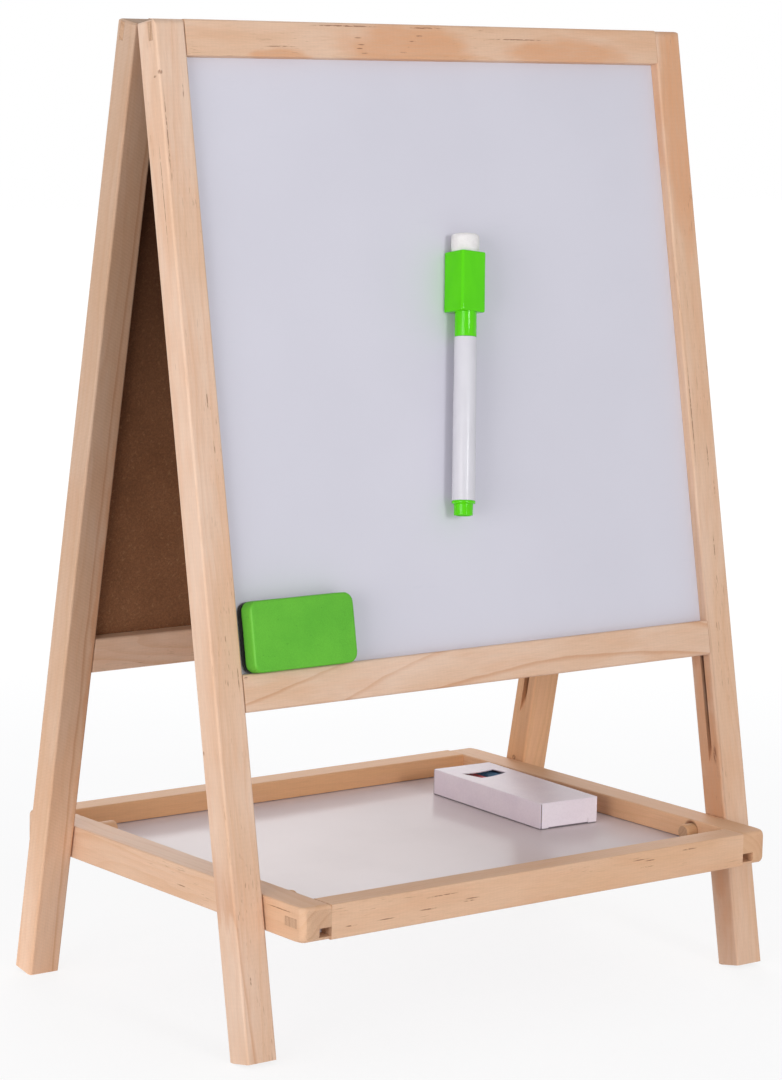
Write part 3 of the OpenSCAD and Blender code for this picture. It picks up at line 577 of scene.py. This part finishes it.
def fuzz_tree():
    """Geometry Nodes that stand short fibres on a surface, with their number, length and width as inputs."""
    tree = bpy.data.node_groups.new("felt_fuzz", "GeometryNodeTree")
    tree.interface.new_socket("Geometry", in_out="INPUT", socket_type="NodeSocketGeometry")
    tree.interface.new_socket("Geometry", in_out="OUTPUT", socket_type="NodeSocketGeometry")
    inputs = {}
    for name, kind in (("Fibres per square metre", "Float"), ("Length", "Float"), ("Width", "Float"),
                       ("Seed", "Int"), ("Finish", "Material")):
        inputs[name] = tree.interface.new_socket(name, in_out="INPUT", socket_type="NodeSocket" + kind).identifier

    def add(kind, **settings):
        node = tree.nodes.new("GeometryNode" + kind if not kind.startswith("Function") else kind)
        for key, setting in settings.items():
            setattr(node, key, setting)
        return node

    def link(one, out, two, into):
        tree.links.new(one.outputs[out], two.inputs[into])

    start = tree.nodes.new("NodeGroupInput")
    end = tree.nodes.new("NodeGroupOutput")
    points = add("DistributePointsOnFaces", distribute_method="RANDOM")
    link(start, "Geometry", points, "Mesh")
    link(start, "Fibres per square metre", points, "Density")
    link(start, "Seed", points, "Seed")
    cone = add("MeshCone", fill_type="NGON")
    cone.inputs["Vertices"].default_value = 3
    link(start, "Width", cone, "Radius Bottom")
    cone.inputs["Radius Top"].default_value = 0.0
    link(start, "Length", cone, "Depth")
    lean = add("FunctionNodeRandomValue", data_type="FLOAT_VECTOR")
    lean.inputs["Min"].default_value = (-1.0, -1.0, 0.0)
    lean.inputs["Max"].default_value = (1.0, 1.0, 6.28)
    link(start, "Seed", lean, "Seed")
    turn = add("FunctionNodeRotateEuler", space="LOCAL")
    link(points, "Rotation", turn, "Rotation")
    link(lean, "Value", turn, "Rotate By")
    size = add("FunctionNodeRandomValue", data_type="FLOAT")
    size.inputs[2].default_value, size.inputs[3].default_value = 0.4, 1.0
    stand = add("InstanceOnPoints")
    link(points, "Points", stand, "Points")
    link(cone, "Mesh", stand, "Instance")
    link(turn, "Rotation", stand, "Rotation")
    tree.links.new(size.outputs[1], stand.inputs["Scale"])
    join = add("JoinGeometry")
    link(stand, "Instances", join, "Geometry")
    link(start, "Geometry", join, "Geometry")
    real = add("RealizeInstances")
    link(join, "Geometry", real, "Geometry")
    paint = add("SetMaterial")
    link(real, "Geometry", paint, "Geometry")
    link(start, "Finish", paint, "Material")
    link(paint, "Geometry", end, "Geometry")
    return tree, inputs


def fuzzy(mesh, name, tree, inputs, **values):
    """A felt mesh with its fibres, as one plain mesh."""
    holder = bpy.data.objects.new(name, mesh)
    bpy.context.scene.collection.objects.link(holder)
    modifier = holder.modifiers.new("fuzz", "NODES")
    modifier.node_group = tree
    for key, value in values.items():
        modifier[inputs[key.replace("_", " ")]] = value
    return settled(holder)


def camera_and_light():
    """The camera at the photograph's angle, soft studio light, and a pale floor that goes to white."""
    scene = bpy.context.scene
    scene.view_settings.view_transform = "Standard"
    data = bpy.data.cameras.new("camera")
    data.sensor_width, data.lens = 36.0, CAMERA_LENS
    data.clip_start, data.clip_end = 0.05, 50
    camera = bpy.data.objects.new("camera", data)
    scene.collection.objects.link(camera)
    yaw, pitch, roll = (math.radians(angle) for angle in CAMERA_TURNS)
    ahead = Vector((math.sin(-yaw) * math.cos(pitch), math.cos(-yaw) * math.cos(pitch), math.sin(pitch)))
    side = ahead.cross(Vector((0, 0, 1))).normalized()
    top = side.cross(ahead)
    right = side * math.cos(roll) + top * math.sin(roll)
    up = top * math.cos(roll) - side * math.sin(roll)
    turn = Matrix((right, up, -ahead)).transposed().to_4x4()
    camera.matrix_world = Matrix.Translation(Vector(CAMERA_AT) * MM) @ turn
    scene.camera = camera

    def softbox(name, azimuth, elevation, away, size, watts, colour):
        lamp = bpy.data.lights.new(name, "AREA")
        lamp.shape, lamp.size, lamp.energy, lamp.color = "DISK", size, watts, colour
        holder = bpy.data.objects.new(name, lamp)
        a, e = math.radians(azimuth), math.radians(elevation)
        out = Vector((math.sin(a) * math.cos(e), -math.cos(a) * math.cos(e), math.sin(e)))
        holder.location = Vector((0, 0, 0.2)) + out * away
        holder.rotation_euler = out.to_track_quat("Z", "Y").to_euler()
        holder.visible_camera = False
        scene.collection.objects.link(holder)

    softbox("key", -66, 5, 1.7, 0.9, 11.5, (1.0, 0.985, 0.975))
    softbox("fill", -2, 14, 2.0, 0.5, 10.2, (0.97, 0.985, 1.0))
    softbox("left", -100, 1, 1.6, 0.8, 3.4, (1.0, 0.99, 0.99))
    softbox("rear", 150, 25, 2.0, 1.2, 11, (1.0, 1.0, 1.0))

    world = bpy.data.worlds.new("studio")
    scene.world = world
    world.use_nodes = True
    nodes, links = world.node_tree.nodes, world.node_tree.links
    nodes.clear()
    path = nodes.new("ShaderNodeLightPath")
    seen = path.outputs["Is Camera Ray"]
    for ray in ("Is Transmission Ray", "Is Glossy Ray"):
        either = nodes.new("ShaderNodeMath")
        either.operation = "MAXIMUM"
        links.new(seen, either.inputs[0])
        links.new(path.outputs[ray], either.inputs[1])
        seen = either.outputs[0]
    both, end = nodes.new("ShaderNodeMixShader"), nodes.new("ShaderNodeOutputWorld")
    links.new(seen, both.inputs[0])
    for slot, (colour, strength) in enumerate((((0.97, 0.98, 1.0, 1), ROOM_LIGHT), ((1, 1, 1, 1), 1.0)), 1):
        background = nodes.new("ShaderNodeBackground")
        background.inputs["Color"].default_value = colour
        background.inputs["Strength"].default_value = strength
        links.new(background.outputs[0], both.inputs[slot])
    links.new(both.outputs[0], end.inputs["Surface"])

    f = Finish("pale_floor")
    p = f.place()
    mottle = f.noise(p, (0.01, 0.01, 0.01), 3.0)
    matt = f.node("ShaderNodeBsdfDiffuse", {}, {"Color": f.mix(f.step(mottle, 0.3, 0.7), tint(243, 243, 245),
                                                               tint(240, 240, 242))})
    glow = f.node("ShaderNodeEmission", {}, {"Color": (1, 1, 1, 1), "Strength": 1.05})
    shown = f.node("ShaderNodeLightPath", {}, {}, "Is Camera Ray")
    shown = shown.most(f.node("ShaderNodeLightPath", {}, {}, "Is Glossy Ray"))
    shown = shown.most(f.node("ShaderNodeLightPath", {}, {}, "Is Transmission Ray"))
    away = f.node("ShaderNodeVectorMath", {"operation": "LENGTH"}, {0: p}, "Value")
    f.output(f.node("ShaderNodeMixShader", {}, {0: shown * f.step(away, 350, 1400, 0.78, 1.0), 1: matt, 2: glow}))
    built = bmesh.new()
    bmesh.ops.create_grid(built, x_segments=8, y_segments=8, size=6.0)
    plane = bpy.data.meshes.new("floor")
    built.to_mesh(plane)
    built.free()
    plane.materials.append(f.material)
    floor = bpy.data.objects.new("floor", plane)
    scene.collection.objects.link(floor)


camera_and_light()

# Marks and curves are where they show on the real bars
BARS = {
    "front_left_leg": dict(along=FRONT_UP, seed=1, pith=(38, -30), slope=0.012, tan=0.12, flecks=0.7, figure=0.22,
                           marks=(((-7.2, -6.9, 202), (1.6, 1.2, 1.3)), ((-7.6, -3.5, 200.5), (0.7, 1.8, 0.7)),
                                  ((-6.2, -7.0, 176), (0.35, 0.8, 22)), ((-7.7, -2.0, 150), (0.8, 0.35, 30)),
                                  ((7.4, -6.6, 202), (0.5, 0.8, 5)), ((3.8, -7.0, 194), (0.4, 0.8, 4)),
                                  ((-7.7, 5.5, -91), (0.8, 0.7, 1.2)), ((2.0, -7.0, 60), (0.4, 0.8, 6)),
                                  ((5.2, -7.0, -60), (0.35, 0.8, 7)), ((-2.4, -7.0, -190), (0.5, 0.8, 2.5))),
                           curves=(((-150, -8.2), (-180, -6.6), (-219, -4.2), 1.6),)),
    "front_right_leg": dict(along=FRONT_UP, seed=2, pith=(-34, 34), slope=0.016, tan=0.22, flecks=0.6, figure=0.25,
                            stains=(((2, -4, 180), (14, 10, 80)), ((-7.7, 0, -140), (3, 9, 90))),
                            marks=(((2, -7, 20), (0.4, 0.8, 7)), ((4.5, -7, 4), (0.4, 0.8, 5)),
                                   ((1.0, -7.0, -24), (0.35, 0.8, 8)), ((-7.8, -4, -123), (1.2, 1.5, 6)),
                                   ((-6.0, -7.0, 40), (0.4, 0.8, 30))),
                            # painted shade on the front right leg's inner face and in its groove
                            shades=(((-7.8, 0, -120), (2.5, 14, 150), 0.2), ((-3.5, 0, -60), (3.7, 5, 90), 0.7))),
    "front_top_rail": dict(along=RIGHT, seed=3, pith=(16, -46), slope=0.01, tan=0.3, flecks=0.45, figure=0.2,
                           stains=(((6.5, -7, -84), (5.0, 6, 19)), ((2, -7, -14), (16, 10, 46)),
                                   ((4, -7, 80), (9, 6, 50))),
                           marks=(((2.0, -7.5, -86), (0.35, 1.0, 11)), ((-7.6, -5.6, -50), (0.5, 1.2, 24)),
                                  ((-7.5, -5.6, -4), (0.45, 1.2, 12)), ((-2.5, -6.9, -43), (0.35, 1, 2.6)),
                                  ((0.5, -7.2, -41.5), (0.3, 1, 2.4)), ((2.2, -7.6, -42.5), (0.35, 1, 2.2)),
                                  ((4.3, -7.8, -40), (0.35, 1, 2.4)), ((3.6, -7.8, -18), (0.3, 1, 2.6)),
                                  ((1.2, -7.4, -16), (0.35, 1, 2.2)), ((-1.4, -7, -12), (0.3, 1, 2.6)),
                                  ((-3.9, -6.5, -8), (0.35, 1, 2.4)), ((-3.2, -6.6, 50), (0.35, 1, 22)))),
    "front_bottom_rail": dict(along=RIGHT, seed=4, rings=4.2, pith=(3, 24), slope=0.05, tan=0.1, flecks=0.1,
                              figure=0.12, marks=(((-7.9, -5.8, -134.5), (0.7, 1.2, 1.4)),),
                              curves=(((-136, 3), (-117, -1.1), (-99.6, -5), 1.8),
                                      ((-83, 6.6), (-63, -0.2), (-30, -9), 2.4),
                                      ((-29, 6.2), (12.6, 1.6), (123, 4.5), 2.2))),
    "rear_left_leg": dict(along=REAR_UP, seed=5, pith=(26, 40), slope=0.01, tan=0.3, flecks=0.25, figure=0.3, saw=1.0,
                          # painted light at the rear left leg's foot and painted shade at its top
                          light=(1.22, 0.76), stains=(((8, -4, -60), (4, 9, 150)),),
                          curves=(((-43, 2.1), (-130, 2.5), (-218, 3.9), 1.6),)),
    "rear_right_leg": dict(along=REAR_UP, seed=6, rings=3.4, pith=(-18, -20), slope=0.03, tan=0.9, flecks=0.2,
                           marks=(((-7.8, 0.7, -152), (1.0, 1.8, 1.6)),),
                           # painted shade on the rear right leg's inner face and in its groove, painted light on its
                           # front face
                           shades=(((-7.8, -4, -120), (2.2, 6, 150), 0.09), ((0, -7, -120), (11, 2.2, 150), -0.14),
                                   ((-3.5, 0, -60), (3.7, 5, 90), 0.55))),
    "rear_top_rail": dict(along=RIGHT, seed=7, pith=(26, 18), slope=0.02, tan=0.4),
    "rear_bottom_rail": dict(along=RIGHT, seed=8, pith=(-20, 22), slope=0.03, tan=0.3, flecks=0.4),
    "tray_left_rail": dict(along=BACKWARD, seed=9, pith=(24, 20), slope=0.02, tan=0.4, flecks=0.4, figure=0.3,
                           ends=0.45, marks=(((-7.5, -4.5, -95), (1, 0.35, 12)), ((-7.5, 1.5, -20), (1, 0.4, 5)))),
    "tray_right_rail": dict(along=BACKWARD, seed=10, pith=(-22, 28), slope=0.03, tan=0.75, flecks=0.3, figure=0.3,
                            # a painted shadow round the peg's hole in the tray's right rail
                            ends=0.1, shades=(((-7.5, -2.9, -75.7), (1.5, 5.2, 5.2), 0.8),)),
    "tray_front_rail": dict(along=RIGHT, seed=11, pith=(8, 44), slope=0.02, tan=0.55, flecks=0.45, figure=0.25,
                            marks=(((2.7, -6.7, -91), (0.35, 1, 6)), ((-3.6, -6.8, -60), (0.3, 1, 11)),
                                   ((0, -6.7, -43.5), (0.35, 1, 5)), ((1.0, -6.7, -45), (0.3, 1, 4)),
                                   ((1.6, -6.7, -68), (0.4, 1, 6)), ((2.9, -6.7, -110), (0.4, 1, 4)),
                                   ((-4.0, -6.7, 55), (0.3, 1, 5)), ((-0.2, -6.7, 60), (0.3, 1, 5)),
                                   ((-3.0, -6.7, 62), (0.35, 1, 4)), ((-5.1, -6.6, 86), (0.4, 1, 6)))),
    "tray_rear_rail": dict(along=RIGHT, seed=12, pith=(20, -26), slope=0.02, tan=1.0, flecks=0.3, figure=0.3),
    "front_left_peg": dict(along=RIGHT, seed=13, rings=2.0, pith=(9, 7), tan=0.8),
    # painted shade on the front right peg, darker towards its right end
    "front_right_peg": dict(along=RIGHT, seed=14, rings=2.0, pith=(-8, 9), tan=1.0, light=(0.9, 0.62)),
    "rear_left_peg": dict(along=RIGHT, seed=15, rings=2.0, pith=(7, -9), tan=0.8),
    "rear_right_peg": dict(along=RIGHT, seed=16, rings=2.0, pith=(-9, -7), tan=0.8),
}

ENAMEL, LAMINATE, CHALK_PAINT = enamel(), laminate(), chalk_paint()
ZINC = steel("hinge_steel", tint(196, 194, 186))
GREEN = moulded("green_plastic", tint(90, 212, 2), tint(84, 206, 0), 0.07, 0.2)
WHITE = moulded("white_plastic", tint(213, 211, 217), tint(209, 207, 213), 0.13, 0.18)
WHITE_FELT = felt("white_felt", tint(240, 237, 236), tint(226, 222, 221))
BLACK_FELT = felt("black_felt", tint(40, 38, 40), tint(16, 15, 17))
FOAM, MAGNET = foam(), sintered()
BOARD = carton_board("carton_board", tint(228, 216, 224), tint(223, 210, 220))
# A lighter copy of the carton board for the near end: painted light where that end faces the lamps
LIT_FLAP_BOARD = carton_board("carton_flap_board_lit", tint(246, 238, 246), tint(242, 233, 242))
INK = fibre_tip("ink_fibre", tint(30, 30, 32), tint(52, 52, 56))
CHALKS = {"red": chalk("chalk_red", tint(236, 116, 122), tint(244, 170, 172)),
          "blue": chalk("chalk_blue", tint(118, 178, 222), tint(176, 214, 240)),
          "yellow": chalk("chalk_yellow", tint(228, 205, 110), tint(240, 226, 170))}

FINISHES = {"whiteboard_sheet": ENAMEL, "whiteboard_backing": hardboard("hardboard_front"),
            # the rear hardboard has painted shade on its upper part
            "chalkboard_backing": hardboard("hardboard_rear", 0.22),
            "chalkboard_sheet": CHALK_PAINT, "tray_panel": LAMINATE, "front_hinge_leaves": ZINC,
            "rear_hinge_leaves": ZINC, "front_hinge_screws": ZINC, "rear_hinge_screws": ZINC, "hinge_pins": ZINC,
            "marker_nib_holder": WHITE, "marker_nib": INK, "marker_ink_core": INK, "marker_cap_magnet": MAGNET,
            "eraser_magnet": MAGNET}
FINISHES.update({bar: pine(bar, **facts) for bar, facts in BARS.items()})
for node_name, finish in FINISHES.items():
    for material_slot in frame["nodes"][node_name].material_slots:
        material_slot.link = "OBJECT"
        material_slot.material = finish.material


def marker():
    """The marker's barrel, end plug and cap, with the cap's socket for its felt pad."""
    low, high = BARREL_LOW, BARREL_LOW + BARREL_LEN
    barrel = rounded([(BORE_R, low + 0.02), (BARREL_R, low + 0.02), (5.1, high), (THROAT_R, high)], 0.25, 4)
    barrel += [(THROAT_R, high - 2), (BORE_R, high - 2)]
    piece("marker_barrel_shell", turned("marker_barrel_shell", barrel, MARKER, closed=True), WHITE, "marker",
          "white_plastic", "marker_barrel")
    plug = rounded([(0.4, 0.5), (3.3, 0.5), (3.45, 0.0), (4.3, 0.0), (4.4, PLUG_TIP), (BARREL_R, PLUG_TIP),
                    (BARREL_R, BARREL_LOW), (4.05, BARREL_LOW), (4.0, BARREL_LOW + 4), (0.4, BARREL_LOW + 4)], 0.35, 4)
    piece("marker_plug", turned("marker_plug", plug, MARKER), GREEN, "marker", "green_plastic", "marker_end_plug")

    def block(inset, radius, height):
        return square(CAP_W / 2 - inset, CAP_D / 2 - inset, radius, height, middle=CAP_MID)

    def collar(radius, height, middle=0.0):
        return square(radius, radius, radius, height, middle=middle)

    foot, mouth = COLLAR_LOW + 0.06, COLLAR_LOW + 27.4
    loops = [collar(0.5, mouth), collar(BORE_R, mouth), collar(BORE_R, foot + 0.5), collar(4.35, foot),
             collar(4.75, foot), collar(4.93, foot + 0.08), collar(COLLAR_R, foot + 0.3),
             collar(COLLAR_R, BLOCK_LOW - 0.3),
             collar(5.04, BLOCK_LOW), block(0.35, 1.1, BLOCK_LOW), block(0.12, 1.2, BLOCK_LOW + 0.12),
             block(0.02, BLOCK_CORNER, BLOCK_LOW + 0.45), block(0, BLOCK_CORNER, BLOCK_LOW + 1.2)]
    for share in (0.25, 0.5, 0.75):
        height = BLOCK_LOW + 1.2 + share * (BLOCK_HIGH - BLOCK_LOW - 2)
        loops.append(block(0.03 * math.sin(math.pi * share), BLOCK_CORNER, height))
    loops += [block(0, BLOCK_CORNER, BLOCK_HIGH - 0.8), block(0.04, BLOCK_CORNER, BLOCK_HIGH - 0.35),
              block(0.15, 1.2, BLOCK_HIGH - 0.1), block(0.3, 1.1, BLOCK_HIGH), collar(6.32, BLOCK_HIGH, CAP_MID),
              collar(PAD_SOCKET_R, BLOCK_HIGH - 0.1, CAP_MID), collar(PAD_SOCKET_R, BLOCK_HIGH - 3, CAP_MID),
              collar(0.5, BLOCK_HIGH - 3, CAP_MID)]
    built = bmesh.new()
    skin(built, loops)
    shell = close_mesh(built, "marker_cap_shell", MARKER)
    pocket = MARKER @ Matrix.Translation(Vector((0, CAP_BACK - 1.65, BLOCK_LOW + 17)) * MM)
    pocket = pocket @ Matrix.Rotation(-math.pi / 2, 4, "X")
    shell = cut(shell, turned("magnet_pocket", [(POCKET_R, 0), (POCKET_R, 4)], pocket), "marker_cap_shell")
    piece("marker_cap_shell", shell, GREEN, "marker_cap", "green_plastic", "marker_cap", sharp=32)


def felt_pad(tree, inputs):
    """The round felt pad on the marker's cap, with its fuzz."""
    base, top = BLOCK_HIGH - 2.9, BLOCK_HIGH + 8.4
    profile = rounded([(0.3, base), (6.1, base), (6.1, BLOCK_HIGH + 0.3), (6.45, BLOCK_HIGH + 1.4), (6.4, top),
                       (0.3, top)], 1.7, 6)
    at = MARKER @ Matrix.Translation((0, CAP_MID * MM, 0))
    mesh = evaluated(turned("felt_pad", profile, at), "felt_pad",
                     ("REMESH", {"mode": "VOXEL", "voxel_size": 0.35 * MM}))
    mesh = soften(mesh, 2.6, 0.14, 0.9, 0.08, 3)
    mesh = fuzzy(mesh, "felt_pad", tree, inputs, Fibres_per_square_metre=4.5e6, Length=0.45 * MM, Width=0.03 * MM,
                 Seed=4, Finish=WHITE_FELT.material)
    pad = piece("felt_pad", mesh, WHITE_FELT, "marker_cap", "white_felt", "marker_felt_pad", sharp=60)


def eraser(tree, inputs):
    """The eraser's foam block and its felt, against the board."""
    def slab(name, half_w, half_h, radius, levels, voxel):
        built = bmesh.new()
        skin(built, [[(x, -depth, -y) for x, y, depth in square(half_w - inset, half_h - inset, radius - inset, depth)]
                     for inset, depth in levels])
        return evaluated(close_mesh(built, name, ERASER), name,
                         ("REMESH", {"mode": "VOXEL", "voxel_size": voxel * MM}),
                         ("SMOOTH", {"iterations": 3}))

    back, face = FELT_TH, FELT_TH + FOAM_TH
    levels = [(0.15, back), (0.0, back + 0.2), (0.0, face - 0.9), (0.12, face - 0.45), (0.4, face - 0.15),
              (0.8, face)]
    mesh = slab("eraser_foam", ERASER_W / 2, ERASER_H / 2, 4.5, levels, 0.5)
    mesh = soften(mesh, 9, 0.16, 1.3, 0.06, 1)
    foam_block = piece("eraser_foam", mesh, FOAM, "eraser", "green_foam", "eraser_body", sharp=60)
    levels = [(0.35, 0.05), (0.1, 0.35), (0.0, FELT_TH - 0.3), (0.15, FELT_TH)]
    mesh = slab("eraser_felt_pad", ERASER_W / 2 + 0.25, ERASER_H / 2 - 0.15, 4.4, levels, 0.4)
    mesh = soften(mesh, 3, 0.2, 0.9, 0.12, 2)
    mesh = fuzzy(mesh, "eraser_felt_pad", tree, inputs, Fibres_per_square_metre=1.2e6, Length=0.4 * MM,
                 Width=0.03 * MM, Seed=9, Finish=BLACK_FELT.material)
    pad = piece("eraser_felt_pad", mesh, BLACK_FELT, "eraser", "black_felt", "eraser_felt", sharp=60)


def carton_sleeve():
    """The carton's sleeve of thin board: one wall folded round, closed at the far end, with its window cut."""
    half_w, half_l = CARTON_W / 2, CARTON_L / 2
    near = -half_l + BOARD_TH + 0.06

    def loop(y, inset, radius):
        """One loop round the sleeve; its panels sag a little between the folds."""
        ring = []
        along = math.sin(math.pi * (y + half_l) / CARTON_L)
        for x, z, _ in square(half_w - inset, CARTON_H / 2 - inset, radius, 0, 4):
            sag = 0.28 * along * (1 - (x / half_w) ** 2) if z > 0 else 0.0
            pull = 0.14 * along * (1 - (z / CARTON_H * 2) ** 2)
            ring.append((x - math.copysign(pull, x), y, z + CARTON_H / 2 - sag))
        return ring

    stations = [near + (half_l - 0.4 - near) * k / 14 for k in range(15)]
    inside = [loop(min(y, half_l - BOARD_TH), BOARD_TH, 0.15) for y in reversed(stations)]
    outside = [loop(y, 0, 0.55) for y in stations]
    ends = [loop(half_l - 0.12, 0.08, 0.5), loop(half_l, 0.35, 0.4)]
    built = bmesh.new()
    skin(built, inside + outside + ends)
    sleeve = close_mesh(built, "carton_sleeve", CARTON)
    corners = [(-11.6, 29.2), (9.0, 30.6), (10.9, 21.5), (-8.2, 16.4)]
    outline = []
    for (x0, y0), (x1, y1), bow in ((corners[0], corners[1], 1.5), (corners[2], corners[3], 1.3)):
        outline += [(x0 + (x1 - x0) * k / 10, y0 + (y1 - y0) * k / 10 - bow * (1 - (k / 5 - 1) ** 2))
                    for k in range(11)]
    knife = bmesh.new()
    skin(knife, [[(x, y, z) for x, y in outline] for z in (CARTON_H - 3, CARTON_H + 3)])
    sleeve = cut(sleeve, close_mesh(knife, "window_cut", CARTON), "carton_sleeve")
    piece("carton_sleeve", sleeve, BOARD, "carton", "carton_board", "chalk_carton", sharp=30)
    for side in (-1, 1):
        built = bmesh.new()
        x = side * (half_w - BOARD_TH - 0.1)
        skin(built, [[(x - side * depth, near + 0.3 + along, z) for along, z in
                      ((0, 1.7), (0, 12.1), (6.2, 11.6), (8.4, 9.6), (8.6, 4.4), (6.6, 2.2))]
                     for depth in (0, 0.3)])
        piece("dust_flap_" + ("left" if side < 0 else "right"), close_mesh(built, "dust_flap", CARTON), BOARD,
              "carton", "carton_board")


def carton_flap():
    """The carton's near end: a flap creased at the top, with its tuck folded in above the bottom edge."""
    half_w, half_l = CARTON_W / 2, CARTON_L / 2
    lower_edge = ((-half_w + 0.9, 0.9), (-half_w + 1.2, 0.3), (-12.8, 0.25), (-12.2, 0.95), (11.5, 0.95), (11.52, 2.9),
                  (11.76, 2.9), (11.78, 0.25), (half_w - 0.8, 0.25), (half_w - 0.4, 0.8), (half_w - 0.35, 1.6))
    built = bmesh.new()
    skin(built, [[(x, -half_l + depth, height) for depth, height in ((0.02, 12.5), (0.02, z), (0.47, z), (0.47, 12.5))]
                 for x, z in lower_edge])
    crease = ((0.47, 12.45), (0.47, 12.9), (0.3, 12.98), (0.14, 12.9), (0.02, 12.7), (0.02, 12.45))
    skin(built, [[(x, -half_l + y, z) for y, z in crease] for x in (-half_w + 0.55, half_w - 0.3)])
    tuck = [(0.08, 1.3), (0.08, 1.05), (0.3, 0.84), (0.8, 0.8), (3.3, 0.82), (3.3, 1.08), (0.9, 1.1), (0.47, 1.3)]
    skin(built, [[(x, -half_l + y, z) for y, z in tuck] for x in (-11.9, 11.2)])
    built.faces.ensure_lookup_table()
    bmesh.ops.triangulate(built, faces=[face for face in built.faces if len(face.verts) > 4], ngon_method="EAR_CLIP")
    mesh = close_mesh(built, "carton_end_flap", CARTON)
    piece("carton_end_flap", mesh, LIT_FLAP_BOARD, "carton_flap", "carton_board", "chalk_carton_flap", sharp=30)


def chalk_sticks():
    """Three sticks of chalk side by side in the carton."""
    pitch = (CARTON_W - 2 * BOARD_TH) / 3
    profile = rounded([(0.3, 0), (4.8, 0), (5.3, 80), (0.3, 80)], 0.7, 4)
    for place, colour in ((0, "red"), (1, "blue"), (-1, "yellow")):
        at = CARTON @ Matrix.Translation(Vector((place * pitch, CARTON_L / 2 - BOARD_TH - 0.5, BOARD_TH + 5.35)) * MM)
        stick = turned("chalk_stick", profile, at @ Matrix.Rotation(math.pi / 2, 4, "X"), turns=48)
        piece("chalk_stick_" + colour, stick, CHALKS[colour], "carton", "chalk_" + colour, "chalk_" + colour)


def sanded_off(radius, reach):
    """How much a ball corner of a radius takes off the rail, that far from its end."""
    return radius - math.sqrt(radius ** 2 - (radius - min(reach, radius)) ** 2) - SANDED_SLACK


def sanded_rails():
    """The tray's side rails, with the outer corners of their ends sanded round by hand."""
    quarter = [math.pi / 2 * turn / 8 for turn in range(9)]
    for side, node in ((-1, "tray_left_rail"), (1, "tray_right_rail")):
        low, high = (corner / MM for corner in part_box(node))
        inner, outer = (high.x + 1, low.x) if side < 0 else (low.x - 1, high.x)
        loops = []
        for step in (-1, 0, 0.4, 0.8, 1.2, 1.7, 2.2, 3, 4, 5.5, 7, SANDED_LEN):
            reach = max(step, 0)
            inset, drop = sanded_off(SANDED_W, reach), sanded_off(SANDED_H, reach)
            radius = RAIL_EDGE_R + CORNER_R * (1 - reach / SANDED_LEN) ** 2
            sunk = drop if reach < SANDED_H else 0
            ring = [(inner, low.z + sunk - INNER_PLAY), (inner, high.z - sunk + INNER_PLAY)]
            ring += [(outer - side * (inset + radius * (1 - math.sin(angle))),
                      high.z - drop - radius * (1 - math.cos(angle))) for angle in quarter]
            ring += [(outer - side * (inset + radius * (1 - math.cos(angle))),
                      low.z + drop + radius * (1 - math.sin(angle))) for angle in quarter]
            loops.append((step, ring))
        front = [[(x, low.y + step, z) for x, z in ring] for step, ring in loops]
        back = [[(x, high.y - step, z) for x, z in ring] for step, ring in reversed(loops)]
        built = bmesh.new()
        skin(built, front + back)
        envelope = close_mesh(built, node + "_envelope", Matrix.Identity(4))
        built = bmesh.new()
        built.from_mesh(frame["nodes"][node].data)
        bmesh.ops.remove_doubles(built, verts=built.verts, dist=2e-6)
        rail = bpy.data.meshes.new(node + "_sanded")
        built.to_mesh(rail)
        built.free()
        rail = cut(rail, envelope, node + "_sanded", "INTERSECT")
        piece(node + "_sanded", rail, FINISHES[node], "tray", "tray_pine", node, sharp=1)


def pegs():
    """The four turned pegs, drawn inward from their outer ends."""
    for side, x_name in ((-1, "left"), (1, "right")):
        for end in ("front", "rear"):
            node = end + "_" + x_name + "_peg"
            low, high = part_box(node)
            outer = Vector((low.x if side < 0 else high.x, (low.y + high.y) / 2, (low.z + high.z) / 2))
            length, radius = (high.x - low.x) / MM, (high.z - low.z) / 2 / MM
            profile = rounded([(0.3, 0), (radius - 0.5, 0), (radius, 0.6), (radius, length - 0.8),
                               (radius - 0.7, length), (0.3, length)], 0.4, 3)
            at = Matrix.Translation(outer) @ Matrix.Rotation(-side * math.pi / 2, 4, "Y")
            piece(node + "_turned", turned(node, profile, at, turns=48), FINISHES[node], node, "peg_pine", node)


marker()
FUZZ, FUZZ_INPUTS = fuzz_tree()
felt_pad(FUZZ, FUZZ_INPUTS)
eraser(FUZZ, FUZZ_INPUTS)
carton_sleeve()
carton_flap()
chalk_sticks()
sanded_rails()
pegs()
